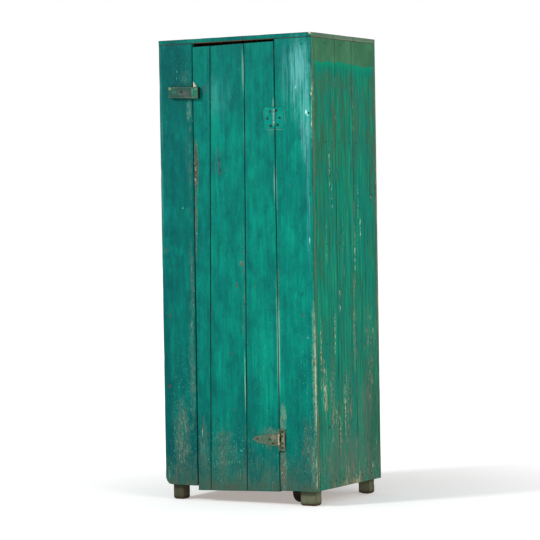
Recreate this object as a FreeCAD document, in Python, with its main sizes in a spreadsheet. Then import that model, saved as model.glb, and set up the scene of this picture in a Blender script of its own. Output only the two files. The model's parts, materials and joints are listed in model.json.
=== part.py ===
"""Tall narrow pantry cabinet: painted softwood boards nailed round four corner posts.

Units are millimetres. +Z is up and the front faces -Y. The origin is on the floor, in the
middle of the rectangle that the whole cabinet covers, turn button and nail heads included.
Positions along Y are counted from the front face of the case until a piece is placed.
"""

import FreeCAD, Part
import os
import re

import Sketcher

SIZES = {
    # case
    "case_width": 626,
    "case_depth": 476,
    "total_height": 1650,
    "skirt": 54,  # bottom edge of the boards above the floor
    "board_thick": 19,
    "back_thick": 16,
    "top_thick": 16,
    "top_overhang": 1,
    "seam_gap": 1,  # between two boards of the same wall
    "corner_round": 9,  # worn lower corner of the latch-side stile
    # posts and the bracket block
    "post_width": 44,
    "wide_post": 62,
    "post_wear": 5,
    "bracket_width": 42,
    "bracket_foot": 10,
    "bracket_top": 108,
    "bracket_round": 30,
    # rails, shelves and cleats
    "rail_high": 54,
    "top_rail_high": 44,
    "rail_thick": 19,
    "shelf_thick": 18,
    "shelf_split": 240,  # joint between the two boards of a shelf
    "cleat_high": 38,
    "cleat_thick": 19,
    "cleat_low": 544,  # undersides of the three pairs of cleats
    "cleat_middle": 896,
    "cleat_top": 1252,
    # door
    "door_thick": 18,
    "door_gap": 1.6,
    "latch_top": -171.2,  # the door's latch edge leans, so it has two ends
    "latch_bottom": -175.2,
    "seam_a_top": -97,
    "seam_a_bottom": -122.5,
    "seam_b_top": 43,
    "seam_b_bottom": 28,
    "hinge_edge_top": 163.6,
    "hinge_edge_bottom": 161,
    "door_high_left": 1621.4,
    "door_high_right": 1625.8,
    "door_low_left": 38.6,
    "door_low_right": 48.3,
    "batten_high": 120,
    "batten_thick": 19,
    "batten_low": 175,
    "batten_upper": 1325,
    "batten_left": -150,
    "batten_right": 150,
    # hinges
    "hinge_axis": 162.5,
    "leaf_thick": 2,
    "knuckle_radius": 4,
    "knuckle_play": 0.3,
    "pin_radius": 2.2,
    "pin_play": 0.05,
    "pin_stick": 1.5,
    "pin_head_radius": 3.2,
    "butt_low": 1320,
    "butt_knuckle": 15,
    "butt_leaf": 39,
    "tee_low": 191,
    "tee_knuckle": 20,
    "tee_high": 78,
    "tee_leaf": 25,
    "strap_root": 24,  # half of the strap's height beside the knuckle
    "strap_neck": 13,  # half of its height where the point begins
    "strap_neck_at": 88,
    "strap_tip": 109,
    # turn button
    "button_x": -209.2,
    "button_z": 1462.5,
    "button_left": 55,
    "button_right": 69.5,
    "button_over_left": 19.1,  # above and below the nail, at the left end and at the right end
    "button_under_left": 20.1,
    "button_over_right": 15.1,
    "button_under_right": 27.3,
    "button_thick": 16,
    "button_gap": 1.4,
    "button_play": 0.2,
    "button_bore_play": 0.08,
    "button_nail": 2,
    # fasteners
    "nail_head": 3.2,
    "nail_shank": 1.5,
    "nail_proud": 0.8,
    "nail_long": 35,
    "door_nail_long": 32,
    "screw_head": 3.3,
    "screw_shank": 1.9,
    "screw_play": 0.4,
    "screw_proud": 0.9,
    "screw_long": 16,
}

DOC = FreeCAD.newDocument("pantry_cabinet")
SHEET = DOC.addObject("Spreadsheet::Sheet", "sizes")
for row, (alias, size) in enumerate(SIZES.items(), start=1):
    SHEET.set(f"A{row}", alias)
    SHEET.set(f"B{row}", str(size))
    SHEET.setAlias(f"B{row}", alias)
DOC.recompute()

NODES = []

# Sums of dimensions that many pieces share.
BUTTON_REACH = "(button_gap + button_thick + button_play + nail_proud * 2)"
FRONT = f"(({BUTTON_REACH} - case_depth - nail_proud) / 2)"
HALF = "(case_width / 2)"
INNER = "(case_width / 2 - board_thick)"
REAR = "(case_depth - back_thick)"
UNDER_TOP = "(total_height - top_thick)"
PIN_Y = "(-knuckle_radius)"
OFFSET_AXIS = {"XY_Plane": "z", "XZ_Plane": "y", "YZ_Plane": "x"}


def on_sheet(text):
    """The sum as an expression that reads the spreadsheet."""
    return re.sub(r"[a-z_]+", lambda word: ("sizes." if word[0] in SIZES else "") + word[0], text)


def worth(text):
    """What the sum comes to now."""
    return float(SHEET.evalExpression(on_sheet(text)))


def place(piece, x="0", y="0", z="0"):
    """Sets a piece down in the row frame; y is counted from the front face."""
    piece.setExpression("Placement.Base.x", on_sheet(x))
    piece.setExpression("Placement.Base.y", on_sheet(f"{FRONT} + {y}"))
    piece.setExpression("Placement.Base.z", on_sheet(z))
    return piece


def keep(piece, label):
    """Counts a finished piece as a node of that name."""
    piece.Label = label
    NODES.append(piece)
    return piece


# ---------------------------------------------------------------- sketch-based pieces


def new_sketch(body, role):
    """A sketch on the body's own origin plane of that role."""
    sketch = body.newObject("Sketcher::SketchObject", body.Name + "_outline")
    plane = next(feature for feature in body.Origin.OriginFeatures if feature.Role == role)
    sketch.AttachmentSupport = [(plane, "")]
    sketch.MapMode = "FlatFace"
    return sketch


def pin_down(sketch, item, point, across, up):
    """Ties one point of the sketch to two sums, counted from the sketch's origin."""
    for kind, size in (("DistanceX", across), ("DistanceY", up)):
        at = sketch.addConstraint(Sketcher.Constraint(kind, -1, 1, item, point, worth(size)))
        sketch.setExpression(f"Constraints[{at}]", on_sheet(size))


def draw_polygon(sketch, corners):
    """A closed outline through the corners."""
    points = [FreeCAD.Vector(worth(across), worth(up), 0) for across, up in corners]
    for start, end in zip(points, points[1:] + points[:1]):
        sketch.addGeometry(Part.LineSegment(start, end))
    for item, (across, up) in enumerate(corners):
        sketch.addConstraint(Sketcher.Constraint("Coincident", item, 2, (item + 1) % len(corners), 1))
        pin_down(sketch, item, 1, across, up)


def draw_circles(sketch, centres, radius):
    """Equal circles round the centres."""
    for item, (across, up) in enumerate(centres):
        centre = FreeCAD.Vector(worth(across), worth(up), 0)
        sketch.addGeometry(Part.Circle(centre, FreeCAD.Vector(0, 0, 1), worth(radius)))
        pin_down(sketch, item, 3, across, up)
        at = sketch.addConstraint(Sketcher.Constraint("Radius", item, worth(radius)))
        sketch.setExpression(f"Constraints[{at}]", on_sheet(radius))


def pad(body, sketch, length, backwards):
    """Gives a sketch its thickness; backwards is against the plane's own direction."""
    feature = body.newObject("PartDesign::Pad", body.Name + "_pad")
    feature.Profile = sketch
    feature.setExpression("Length", on_sheet(length))
    feature.Reversed = backwards
    return feature


def board(label, role, corners, start, thick):
    """A flat piece of wood or metal: an outline on one plane, made thick from `start` onwards."""
    body = DOC.addObject("PartDesign::Body", label)
    sketch = new_sketch(body, role)
    draw_polygon(sketch, corners)
    pad(body, sketch, thick, backwards=role == "XZ_Plane")
    place(body, **{OFFSET_AXIS[role]: start})
    return keep(body, label)


def rectangle(low_across, high_across, low_up, high_up):
    """The four corners of an upright rectangle."""
    return [(low_across, low_up), (high_across, low_up), (high_across, high_up), (low_across, high_up)]


def dress(body, kind, size, is_wanted):
    """Rounds or chamfers the edges of the body whose middle point is wanted."""
    DOC.recompute()
    tip = body.Tip
    names = []
    for number, edge in enumerate(tip.Shape.Edges, start=1):
        middle = edge.valueAt((edge.FirstParameter + edge.LastParameter) / 2)
        if is_wanted(middle):
            names.append(f"Edge{number}")
    feature = body.newObject(kind, body.Name + "_dress")
    feature.Base = (tip, names)
    feature.setExpression("Radius" if kind == "PartDesign::Fillet" else "Size", on_sheet(size))
    return body


def fasteners(label, role, places, surface, outwards, proud, head, shank, long):
    """Driven nails or screws: round heads lying on a surface, and shanks going into the wood.

    `outwards` is +1 when the surface faces along the plane's axis and -1 when it faces back."""
    body = DOC.addObject("PartDesign::Body", label)
    body.AllowCompound = True
    along_axis = outwards > 0
    towards_y = role == "XZ_Plane"
    for radius, length, is_head in ((head, proud, True), (shank, long, False)):
        sketch = new_sketch(body, role)
        draw_circles(sketch, places, radius)
        pad(body, sketch, length, backwards=(along_axis == is_head) == towards_y)
    place(body, **{OFFSET_AXIS[role]: surface})
    return keep(body, label)


def nails(label, role, places, surface, outwards, long="nail_long"):
    return fasteners(label, role, places, surface, outwards, "nail_proud", "nail_head", "nail_shank", long)


# ---------------------------------------------------------------- primitive-based pieces


def primitive(kind, name, sizes, x, y, z, turn=None):
    """A Part primitive with its sizes and its place bound to the sheet."""
    piece = DOC.addObject(kind, name)
    for key, text in sizes.items():
        piece.setExpression(key, on_sheet(text))
    if turn:
        piece.Placement.Rotation = turn
    return place(piece, x, y, z)


def fuse(name, pieces):
    joined = DOC.addObject("Part::MultiFuse", name)
    joined.Shapes = pieces
    return joined


def cut(name, base, tools):
    carved = DOC.addObject("Part::Cut", name)
    carved.Base = base
    carved.Tool = tools[0] if len(tools) == 1 else fuse(name + "_tools", tools)
    return carved


TURN_TO_Y = FreeCAD.Rotation(FreeCAD.Vector(1, 0, 0), -90)


def hole_through_leaf(name, x, z, radius):
    """A round hole front to back through a hinge leaf."""
    return primitive(
        "Part::Cylinder", name,
        {"Radius": radius, "Height": "leaf_thick * 3"}, x, "-leaf_thick * 2", z, TURN_TO_Y,
    )


def hinge_leaf(label, side, plate, spans, screws):
    """One leaf of a surface hinge: the plate, its knuckles on the pin line, and the tongues between.

    `side` is +1 for the leaf on the case and -1 for the leaf on the door."""
    pieces = [plate]
    for number, (low, high) in enumerate(spans):
        height = {"Height": f"{high} - ({low})"}
        tongue_x = "hinge_axis" if side > 0 else "hinge_axis - knuckle_radius * 1.5"
        pieces.append(
            primitive(
                "Part::Cylinder", f"{label}_knuckle_{number}",
                {"Radius": "knuckle_radius", **height}, "hinge_axis", PIN_Y, low,
            )
        )
        pieces.append(
            primitive(
                "Part::Box", f"{label}_tongue_{number}",
                {"Length": "knuckle_radius * 1.5", "Width": "leaf_thick", **height},
                tongue_x, "-leaf_thick", low,
            )
        )
    lowest, highest = spans[0][0], spans[-1][1]
    tools = [
        primitive(
            "Part::Cylinder", f"{label}_bore",
            {"Radius": "pin_radius + pin_play", "Height": f"{highest} - ({lowest}) + 2 * pin_stick"},
            "hinge_axis", PIN_Y, f"{lowest} - pin_stick",
        )
    ]
    for number, (x, z) in enumerate(screws):
        tools.append(hole_through_leaf(f"{label}_hole_{number}", x, z, "screw_shank + screw_play"))
    return keep(cut(label, fuse(f"{label}_blank", pieces), tools), label)


def hinge_pin(label, low, high):
    """A plain pin with a button head on its upper end."""
    shaft = primitive(
        "Part::Cylinder", f"{label}_shaft",
        {"Radius": "pin_radius", "Height": f"{high} - ({low}) + pin_stick"},
        "hinge_axis", PIN_Y, f"{low} - pin_stick",
    )
    head = primitive(
        "Part::Cylinder", f"{label}_head",
        {"Radius": "pin_head_radius", "Height": "pin_stick"},
        "hinge_axis", PIN_Y, f"{high} + knuckle_play / 2",
    )
    neck = primitive(
        "Part::Cylinder", f"{label}_neck",
        {"Radius": "pin_radius", "Height": "knuckle_play"}, "hinge_axis", PIN_Y, high,
    )
    return keep(fuse(label, [shaft, neck, head]), label)


# ---------------------------------------------------------------- posts and rails


def post(label, left, right, front, back):
    body = board(label, "XY_Plane", rectangle(left, right, front, back), "0", UNDER_TOP)
    return dress(body, "PartDesign::Chamfer", "post_wear", lambda middle: middle.z < 0.1)


FRONT_POSTS = ("board_thick", "board_thick + post_width")
REAR_POSTS = (f"{REAR} - post_width", REAR)
post("post_front_left", f"-{INNER}", f"-{INNER} + post_width", *FRONT_POSTS)
post("post_front_right", f"{INNER} - wide_post", INNER, *FRONT_POSTS)
post("post_rear_left", f"-{INNER}", f"-{INNER} + post_width", *REAR_POSTS)
post("post_rear_right", f"{INNER} - post_width", INNER, *REAR_POSTS)

BRACKET_RIGHT = f"({INNER} - wide_post)"
bracket = board(
    "foot_bracket", "XZ_Plane",
    rectangle(f"{BRACKET_RIGHT} - bracket_width", BRACKET_RIGHT, "bracket_foot", "bracket_top"),
    "board_thick + rail_thick + 1", "post_width - rail_thick - 1",
)
bracket_edge = worth(f"{BRACKET_RIGHT} - bracket_width")
bracket_foot = worth("bracket_foot")
dress(
    bracket, "PartDesign::Fillet", "bracket_round",
    lambda middle: abs(middle.x - bracket_edge) < 0.1 and abs(middle.z - bracket_foot) < 0.1,
)

SIDE_RAIL_Y = ("board_thick + post_width", f"{REAR} - post_width")


def rail_ring(name, low, high, front_rail_y):
    """Four rails between the posts, all at the same height."""
    left, right = f"-{INNER} + post_width", f"{INNER} - wide_post"
    board(f"{name}_rail_front", "XZ_Plane", rectangle(left, right, low, high), front_rail_y, "rail_thick")
    board(
        f"{name}_rail_rear", "XZ_Plane", rectangle(left, f"{INNER} - post_width", low, high),
        f"{REAR} - rail_thick", "rail_thick",
    )
    for side, start in (("left", f"-{INNER}"), ("right", f"{INNER} - rail_thick")):
        board(f"{name}_rail_{side}", "YZ_Plane", rectangle(*SIDE_RAIL_Y, low, high), start, "rail_thick")


FLOOR_LOW = "(skirt + rail_high)"
rail_ring("bottom", "skirt", FLOOR_LOW, "board_thick")
rail_ring("top", f"{UNDER_TOP} - top_rail_high", UNDER_TOP, "board_thick + post_width - rail_thick")

# ---------------------------------------------------------------- walls and top

LATCH_STILE_TOP = "(latch_top - door_gap)"
LATCH_STILE_BOTTOM = "(latch_bottom - door_gap * 2)"
stile_left = board(
    "front_stile_left", "XZ_Plane",
    [
        (f"-{HALF}", "skirt"), (LATCH_STILE_BOTTOM, "skirt"),
        (LATCH_STILE_TOP, UNDER_TOP), (f"-{HALF}", UNDER_TOP),
    ],
    "0", "board_thick",
)
stile_edge = worth(f"-{HALF}")
stile_low = worth("skirt")
dress(
    stile_left, "PartDesign::Fillet", "corner_round",
    lambda middle: abs(middle.x - stile_edge) < 0.1 and abs(middle.z - stile_low) < 0.1,
)
board(
    "front_stile_right", "XZ_Plane",
    [
        ("hinge_edge_bottom + door_gap", "skirt - 2"),
        (HALF, "skirt - 2"),
        (HALF, UNDER_TOP),
        ("hinge_edge_top + door_gap", UNDER_TOP),
    ],
    "0", "board_thick",
)


def wall_of_boards(name, role, first, last, seams, start, thick):
    """Upright boards side by side; each seam is a pair of sums, its lower and its upper end."""
    lefts = [(first, first)] + [(f"{low} + seam_gap / 2", f"{high} + seam_gap / 2") for low, high in seams]
    rights = [(f"{low} - seam_gap / 2", f"{high} - seam_gap / 2") for low, high in seams] + [(last, last)]
    for number, (left, right) in enumerate(zip(lefts, rights), start=1):
        corners = [(left[0], "skirt"), (right[0], "skirt"), (right[1], UNDER_TOP), (left[1], UNDER_TOP)]
        board(f"{name}_{number}", role, corners, start, thick)


wall_of_boards(
    "side_right_board", "YZ_Plane", "board_thick", REAR, [("163", "170"), ("302", "294")],
    INNER, "board_thick",
)
wall_of_boards(
    "side_left_board", "YZ_Plane", "board_thick", REAR, [("158", "154"), ("311", "316")],
    f"-{HALF}", "board_thick",
)
wall_of_boards(
    "back_board", "XZ_Plane", f"-{HALF}", HALF, [("-161", "-158"), ("4", "6"), ("152", "149")],
    REAR, "back_thick",
)

TOP_EDGES = ["-top_overhang", "161", "312", "case_depth"]
for number, (front, back) in enumerate(zip(TOP_EDGES, TOP_EDGES[1:]), start=1):
    gap = "seam_gap" if number < len(TOP_EDGES) - 1 else "0"
    board(
        f"top_board_{number}", "XY_Plane",
        rectangle(f"-{HALF} - top_overhang", f"{HALF} + top_overhang", front, f"{back} - {gap}"),
        UNDER_TOP, "top_thick",
    )

# ---------------------------------------------------------------- floor, shelves and cleats


def shelf(name, low):
    """Two boards side by side, notched round the posts and reaching the stiles and the back."""
    left, right, front = f"-{INNER}", INNER, "board_thick"
    notch_left, notch_right = f"{left} + post_width", f"{right} - wide_post"
    notch_front = f"{front} + post_width"
    board(
        f"{name}_board_front", "XY_Plane",
        [
            (notch_left, front), (notch_right, front), (notch_right, notch_front), (right, notch_front),
            (right, "shelf_split"), (left, "shelf_split"), (left, notch_front), (notch_left, notch_front),
        ],
        low, "shelf_thick",
    )
    notch_right, notch_rear, split = f"{right} - post_width", f"{REAR} - post_width", "shelf_split + seam_gap"
    board(
        f"{name}_board_rear", "XY_Plane",
        [
            (left, split), (right, split), (right, notch_rear), (notch_right, notch_rear),
            (notch_right, REAR), (notch_left, REAR), (notch_left, notch_rear), (left, notch_rear),
        ],
        low, "shelf_thick",
    )


def cleat_pair(label, low):
    """The two strips that carry one shelf, nailed to the side boards between the posts."""
    high = f"{low} + cleat_high"
    body = DOC.addObject("PartDesign::Body", label)
    body.AllowCompound = True
    for left, right in ((f"-{INNER}", f"-{INNER} + cleat_thick"), (f"{INNER} - cleat_thick", INNER)):
        sketch = new_sketch(body, "XY_Plane")
        draw_polygon(sketch, rectangle(left, right, *SIDE_RAIL_Y))
        pad(body, sketch, "cleat_high", backwards=False)
    place(body, z=low)
    keep(body, label)
    return high


shelf("floor", FLOOR_LOW)
for level in ("low", "middle", "top"):
    shelf(f"shelf_{level}", cleat_pair(f"shelf_{level}_cleats", f"cleat_{level}"))

# ---------------------------------------------------------------- door


def door_edge(x, left_end, right_end):
    """Height of the door's sloping top or bottom edge where it passes x."""
    rise = f"({right_end} - {left_end})"
    return f"{left_end} + {rise} * ({x} - latch_bottom) / (hinge_edge_bottom - latch_bottom)"


def door_board(label, left_bottom, right_bottom, left_top, right_top):
    corners = [
        (x, door_edge(x, "door_low_left", "door_low_right")) for x in (left_bottom, right_bottom)
    ] + [
        (x, door_edge(x, "door_high_left", "door_high_right")) for x in (right_top, left_top)
    ]
    board(label, "XZ_Plane", corners, "0", "door_thick")


half_gap = "seam_gap / 2"
door_board(
    "door_board_latch", "latch_bottom", f"(seam_a_bottom - {half_gap})",
    "latch_top", f"(seam_a_top - {half_gap})",
)
door_board(
    "door_board_middle", f"(seam_a_bottom + {half_gap})", f"(seam_b_bottom - {half_gap})",
    f"(seam_a_top + {half_gap})", f"(seam_b_top - {half_gap})",
)
door_board(
    "door_board_hinge", f"(seam_b_bottom + {half_gap})", "hinge_edge_bottom",
    f"(seam_b_top + {half_gap})", "hinge_edge_top",
)
for level, low in (("lower", "batten_low"), ("upper", "batten_upper")):
    board(
        f"door_batten_{level}", "XZ_Plane",
        rectangle("batten_left", "batten_right", low, f"{low} + batten_high"), "door_thick", "batten_thick",
    )

# ---------------------------------------------------------------- hinges

PLATE_START = "knuckle_radius + 0.6"
BUTT_STILE_SCREWS = [("171.5", "1383"), ("185", "1357"), ("176", "1332")]
BUTT_DOOR_SCREWS = [("147", "1380"), ("135", "1356"), ("148", "1330")]
TEE_STILE_SCREWS = [("177", "259"), ("175", "243"), ("177", "218"), ("175", "203")]
TEE_STRAP_SCREWS = [("74", "231"), ("124", "231"), ("137", "217")]


def butt_spans(first):
    """Every other knuckle of the five, from the given one up, as low and high ends."""
    spans = []
    for k in range(first, 5, 2):
        low = f"butt_low + butt_knuckle * {k} + knuckle_play / 2"
        high = f"butt_low + butt_knuckle * {k + 1} - knuckle_play / 2"
        spans.append((low, high))
    return spans


def plate_box(name, x, wide, low, high):
    size = {"Length": wide, "Width": "leaf_thick", "Height": high}
    return primitive("Part::Box", name, size, x, "-leaf_thick", low)


hinge_leaf(
    "butt_hinge_stile_leaf", 1,
    plate_box("butt_stile_plate", f"hinge_axis + {PLATE_START}", f"butt_leaf - ({PLATE_START})", "butt_low",
              "butt_knuckle * 5"),
    butt_spans(0), BUTT_STILE_SCREWS,
)
hinge_leaf(
    "butt_hinge_door_leaf", -1,
    plate_box("butt_door_plate", "hinge_axis - butt_leaf", f"butt_leaf - ({PLATE_START})", "butt_low",
              "butt_knuckle * 5"),
    butt_spans(1), BUTT_DOOR_SCREWS,
)
hinge_pin("butt_hinge_pin", "butt_low", "(butt_low + butt_knuckle * 5)")

TEE_TOP = "(tee_low + tee_high)"
hinge_leaf(
    "tee_hinge_stile_leaf", 1,
    plate_box(
        "tee_stile_plate", f"hinge_axis + {PLATE_START}", f"tee_leaf - ({PLATE_START})", "tee_low", "tee_high"
    ),
    [("tee_low", "tee_low + tee_knuckle"), (f"{TEE_TOP} - tee_knuckle", TEE_TOP)], TEE_STILE_SCREWS,
)

STRAP_MIDDLE = "(tee_low + tee_high / 2)"
strap_plate = DOC.addObject("PartDesign::Body", "tee_strap_plate")
strap_sketch = new_sketch(strap_plate, "XZ_Plane")
strap_start = f"hinge_axis - ({PLATE_START})"
draw_polygon(
    strap_sketch,
    [
        (strap_start, f"{STRAP_MIDDLE} - strap_root"),
        (strap_start, f"{STRAP_MIDDLE} + strap_root"),
        ("hinge_axis - strap_neck_at", f"{STRAP_MIDDLE} + strap_neck"),
        ("hinge_axis - strap_tip", f"{STRAP_MIDDLE} + 2"),
        ("hinge_axis - strap_tip", f"{STRAP_MIDDLE} - 2"),
        ("hinge_axis - strap_neck_at", f"{STRAP_MIDDLE} - strap_neck"),
    ],
)
pad(strap_plate, strap_sketch, "leaf_thick", backwards=True)
place(strap_plate, y="(-leaf_thick)")
hinge_leaf(
    "tee_hinge_strap", -1, strap_plate,
    [("tee_low + tee_knuckle + knuckle_play", f"{TEE_TOP} - tee_knuckle - knuckle_play")], TEE_STRAP_SCREWS,
)
hinge_pin("tee_hinge_pin", "tee_low", TEE_TOP)


def screws(label, places):
    return fasteners(
        label, "XZ_Plane", places, "(-leaf_thick)", -1,
        "screw_proud", "screw_head", "screw_shank", "screw_long",
    )


screws("stile_hinge_screws", BUTT_STILE_SCREWS + TEE_STILE_SCREWS)
screws("door_hinge_screws", BUTT_DOOR_SCREWS + TEE_STRAP_SCREWS)

# ---------------------------------------------------------------- turn button

button_blank = DOC.addObject("PartDesign::Body", "turn_button_blank")
button_sketch = new_sketch(button_blank, "XZ_Plane")
draw_polygon(
    button_sketch,
    [
        ("button_x - button_left", "button_z - button_under_left"),
        ("button_x + button_right", "button_z - button_under_right"),
        ("button_x + button_right", "button_z + button_over_right"),
        ("button_x - button_left", "button_z + button_over_left"),
    ],
)
pad(button_blank, button_sketch, "button_thick", backwards=True)
place(button_blank, y="(-button_gap - button_thick)")
button_bore = primitive(
    "Part::Cylinder", "turn_button_bore",
    {"Radius": "button_nail + button_bore_play", "Height": "button_thick * 2"},
    "button_x", "(-button_gap - button_thick * 1.5)", "button_z", TURN_TO_Y,
)
keep(cut("turn_button", button_blank, [button_bore]), "turn_button")
fasteners(
    "turn_button_nail", "XZ_Plane", [("button_x", "button_z")],
    "(-button_gap - button_thick - button_play)", -1,
    "nail_proud * 2", "button_nail * 2.2", "button_nail", "button_thick + button_gap + board_thick",
)

# ---------------------------------------------------------------- nails

nails(
    "front_nails", "XZ_Plane",
    [
        ("-286", "1195"), ("-272", "1610"), ("-272", "905"), ("-286", "565"), ("-272", "240"),
        ("-215", "116"), ("300", "1370"), ("300", "1091"), ("264", "1281"), ("272", "1610"),
        ("264", "740"), ("272", "420"), ("264", "116"), ("220", "116"),
    ],
    "0", -1,
)

# Nail rows at the top rails, the three pairs of cleats and the bottom rails; two nails in each board.
SIDE_ROWS = [
    ("1616", ["96", "205", "326"]),
    ("1271", ["96", "138", "196", "271", "324", "400"]),
    ("915", ["90", "134", "186", "270", "327", "398"]),
    ("563", ["88", "132", "191", "268", "334", "402"]),
    ("80", ["92", "136", "190", "274", "330", "404"]),
]
side_places = [(along, height) for height, row in SIDE_ROWS for along in row]
nails("side_nails_right", "YZ_Plane", side_places, HALF, 1)
nails("side_nails_left", "YZ_Plane", side_places, f"-{HALF}", -1)
back_places = [
    (across, height)
    for height in ("1616", "80")
    for across in ("-272", "-190", "-128", "-30", "34", "122", "180", "272")
]
back_places += [(across, height) for height in ("1290", "860", "430") for across in ("-272", "272")]
nails("back_nails", "XZ_Plane", back_places, "case_depth", 1)
nails(
    "top_nails", "XY_Plane",
    [(across, along) for along in ("34", "128", "200", "282", "350", "448") for across in ("-282", "282")],
    "total_height", 1,
)
nails(
    "door_nails", "XZ_Plane",
    [
        ("-126", "233"), ("-76", "236"), ("10", "208"), ("10", "262"), ("60", "268"),
        ("77", "1441"), ("64", "1331"), ("-10", "1436"), ("-60", "1350"), ("-132", "1410"),
    ],
    "0", -1, "door_nail_long",
)

# ---------------------------------------------------------------- check and write

DOC.recompute()
for item in DOC.Objects:
    if "Invalid" in item.State or "Error" in item.State:
        raise RuntimeError(f"{item.Name} did not build: {item.State}")
os.makedirs("parts", exist_ok=True)
for node in NODES:
    shape = node.Shape
    if shape.isNull() or not shape.isValid() or not shape.Solids:
        raise RuntimeError(f"{node.Label} has no valid solid")
    shape.exportStep(f"parts/{node.Label}.step")
print(len(NODES), "nodes")
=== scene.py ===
"""Looks for the pantry cabinet: worn painted boards, rubbed iron hinges, rusty nails, bare pine inside."""

import json
import math

import bmesh
import bpy
from mathutils import Matrix, Vector, noise


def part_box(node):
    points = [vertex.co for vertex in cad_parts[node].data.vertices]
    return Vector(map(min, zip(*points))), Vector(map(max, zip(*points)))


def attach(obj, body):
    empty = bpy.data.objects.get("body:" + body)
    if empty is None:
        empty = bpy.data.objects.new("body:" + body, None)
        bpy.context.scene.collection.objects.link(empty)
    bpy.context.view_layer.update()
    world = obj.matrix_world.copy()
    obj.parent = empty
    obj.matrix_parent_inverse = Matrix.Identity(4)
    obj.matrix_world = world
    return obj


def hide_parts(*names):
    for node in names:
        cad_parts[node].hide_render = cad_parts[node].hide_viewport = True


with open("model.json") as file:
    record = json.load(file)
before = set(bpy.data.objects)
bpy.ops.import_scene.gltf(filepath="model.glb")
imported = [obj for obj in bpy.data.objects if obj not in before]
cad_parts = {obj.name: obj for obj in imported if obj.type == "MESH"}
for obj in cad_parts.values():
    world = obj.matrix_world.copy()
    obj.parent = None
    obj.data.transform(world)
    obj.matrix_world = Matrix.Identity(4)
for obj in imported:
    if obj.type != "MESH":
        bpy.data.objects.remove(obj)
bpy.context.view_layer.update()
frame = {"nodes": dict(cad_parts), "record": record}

MM = 0.001
HAIR = 0.001 * MM  # closer than this is the same place
UP = Vector((0, 0, 1))
FRONT_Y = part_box("front_stile_left")[0].y
HALF_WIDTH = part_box("front_stile_right")[1].x
HINGE_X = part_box("butt_hinge_pin")[0].lerp(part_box("butt_hinge_pin")[1], 0.5).x


def sRGB(red, green, blue):
    """A colour given as it looks on a screen, 0 to 255, turned into the linear one that shaders use."""
    def linear(value):
        value /= 255
        return value / 12.92 if value <= 0.04045 else ((value + 0.055) / 1.055) ** 2.4
    return (linear(red), linear(green), linear(blue), 1.0)


TEAL = sRGB(0, 131, 114)
TEAL_DEEP = sRGB(0, 92, 90)
TEAL_BRIGHT = sRGB(0, 153, 130)
TEAL_DARK = sRGB(0, 72, 76)
CHALK_AND_SHEEN = sRGB(124, 186, 190)
GREY_WORN = sRGB(94, 116, 100)
BROWN_WORN = sRGB(78, 62, 50)
PINK_WORN = sRGB(104, 94, 84)
CREAM = sRGB(206, 200, 164)
PALE_SPECK = sRGB(150, 184, 164)
DIRT = sRGB(26, 38, 32)
KNOT_BROWN = sRGB(70, 44, 26)
WOOD_DUST = sRGB(128, 120, 106)
IRON_SHADE = sRGB(30, 30, 24)
IRON_PALE = sRGB(150, 152, 126)
OLD_SHINE = 0.07  # how much old paint, dry wood and dull iron mirror

# ---------------------------------------------------------------- node trees


class Tree:
    """A short way to write a node tree."""

    def __init__(self, tree):
        self.tree = tree

    def node(self, kind, inputs=None, **settings):
        made = self.tree.nodes.new(kind)
        for key, value in settings.items():
            setattr(made, key, value)
        for key, value in (inputs or {}).items():
            self.feed(made.inputs[key], value)
        return made

    def feed(self, socket, value):
        if isinstance(value, bpy.types.NodeSocket):
            self.tree.links.new(value, socket)
        else:
            socket.default_value = value

    def reckon(self, operation, *values):
        """Any of the Math node's operations."""
        made = self.node("ShaderNodeMath", operation=operation)
        for socket, value in zip(made.inputs, values):
            self.feed(socket, value)
        return made.outputs[0]

    def times(self, *values):
        result = values[0]
        for value in values[1:]:
            result = self.reckon("MULTIPLY", result, value)
        return result

    def plus(self, *values):
        result = values[0]
        for value in values[1:]:
            result = self.reckon("ADD", result, value)
        return result

    def inverse(self, value):
        return self.reckon("SUBTRACT", 1.0, value)

    def either(self, *values):
        """The stronger of the masks."""
        result = values[0]
        for value in values[1:]:
            result = self.reckon("MAXIMUM", result, value)
        return result

    def span(self, value, low, high, to_low=0.0, to_high=1.0):
        """Stretches low..high to to_low..to_high with soft ends."""
        inputs = {"Value": value, "From Min": low, "From Max": high, "To Min": to_low, "To Max": to_high}
        return self.node("ShaderNodeMapRange", inputs, interpolation_type="SMOOTHSTEP").outputs[0]

    def blend(self, factor, first, second, mode="MIX"):
        made = self.node("ShaderNodeMix", data_type="RGBA", blend_type=mode, clamp_result=True)
        self.feed(made.inputs[0], factor)
        self.feed(made.inputs[6], first)
        self.feed(made.inputs[7], second)
        return made.outputs[2]

    def stretch(self, vector, scale, shift=(0, 0, 0), turn=(0, 0, 0)):
        inputs = {"Vector": vector, "Scale": scale, "Location": shift, "Rotation": turn}
        return self.node("ShaderNodeMapping", inputs).outputs[0]

    def noise(self, vector, scale=1.0, detail=3.0, roughness=0.55, distortion=0.0):
        inputs = {
            "Vector": vector, "Scale": scale, "Detail": detail,
            "Roughness": roughness, "Distortion": distortion,
        }
        return self.node("ShaderNodeTexNoise", inputs).outputs[0]

    def split(self, vector):
        """The x, y and z of a vector."""
        return self.node("ShaderNodeSeparateXYZ", {"Vector": vector}).outputs

    def attribute(self, name):
        return self.node("ShaderNodeAttribute", attribute_name=name).outputs["Fac"]

    def place(self):
        """Where a point is in the cabinet's own frame."""
        return self.node("ShaderNodeTexCoord").outputs["Object"]

    def group(self, tree, inputs):
        made = self.node("ShaderNodeGroup", node_tree=tree)
        for key, value in inputs.items():
            self.feed(made.inputs[key], value)
        return made.outputs


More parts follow.
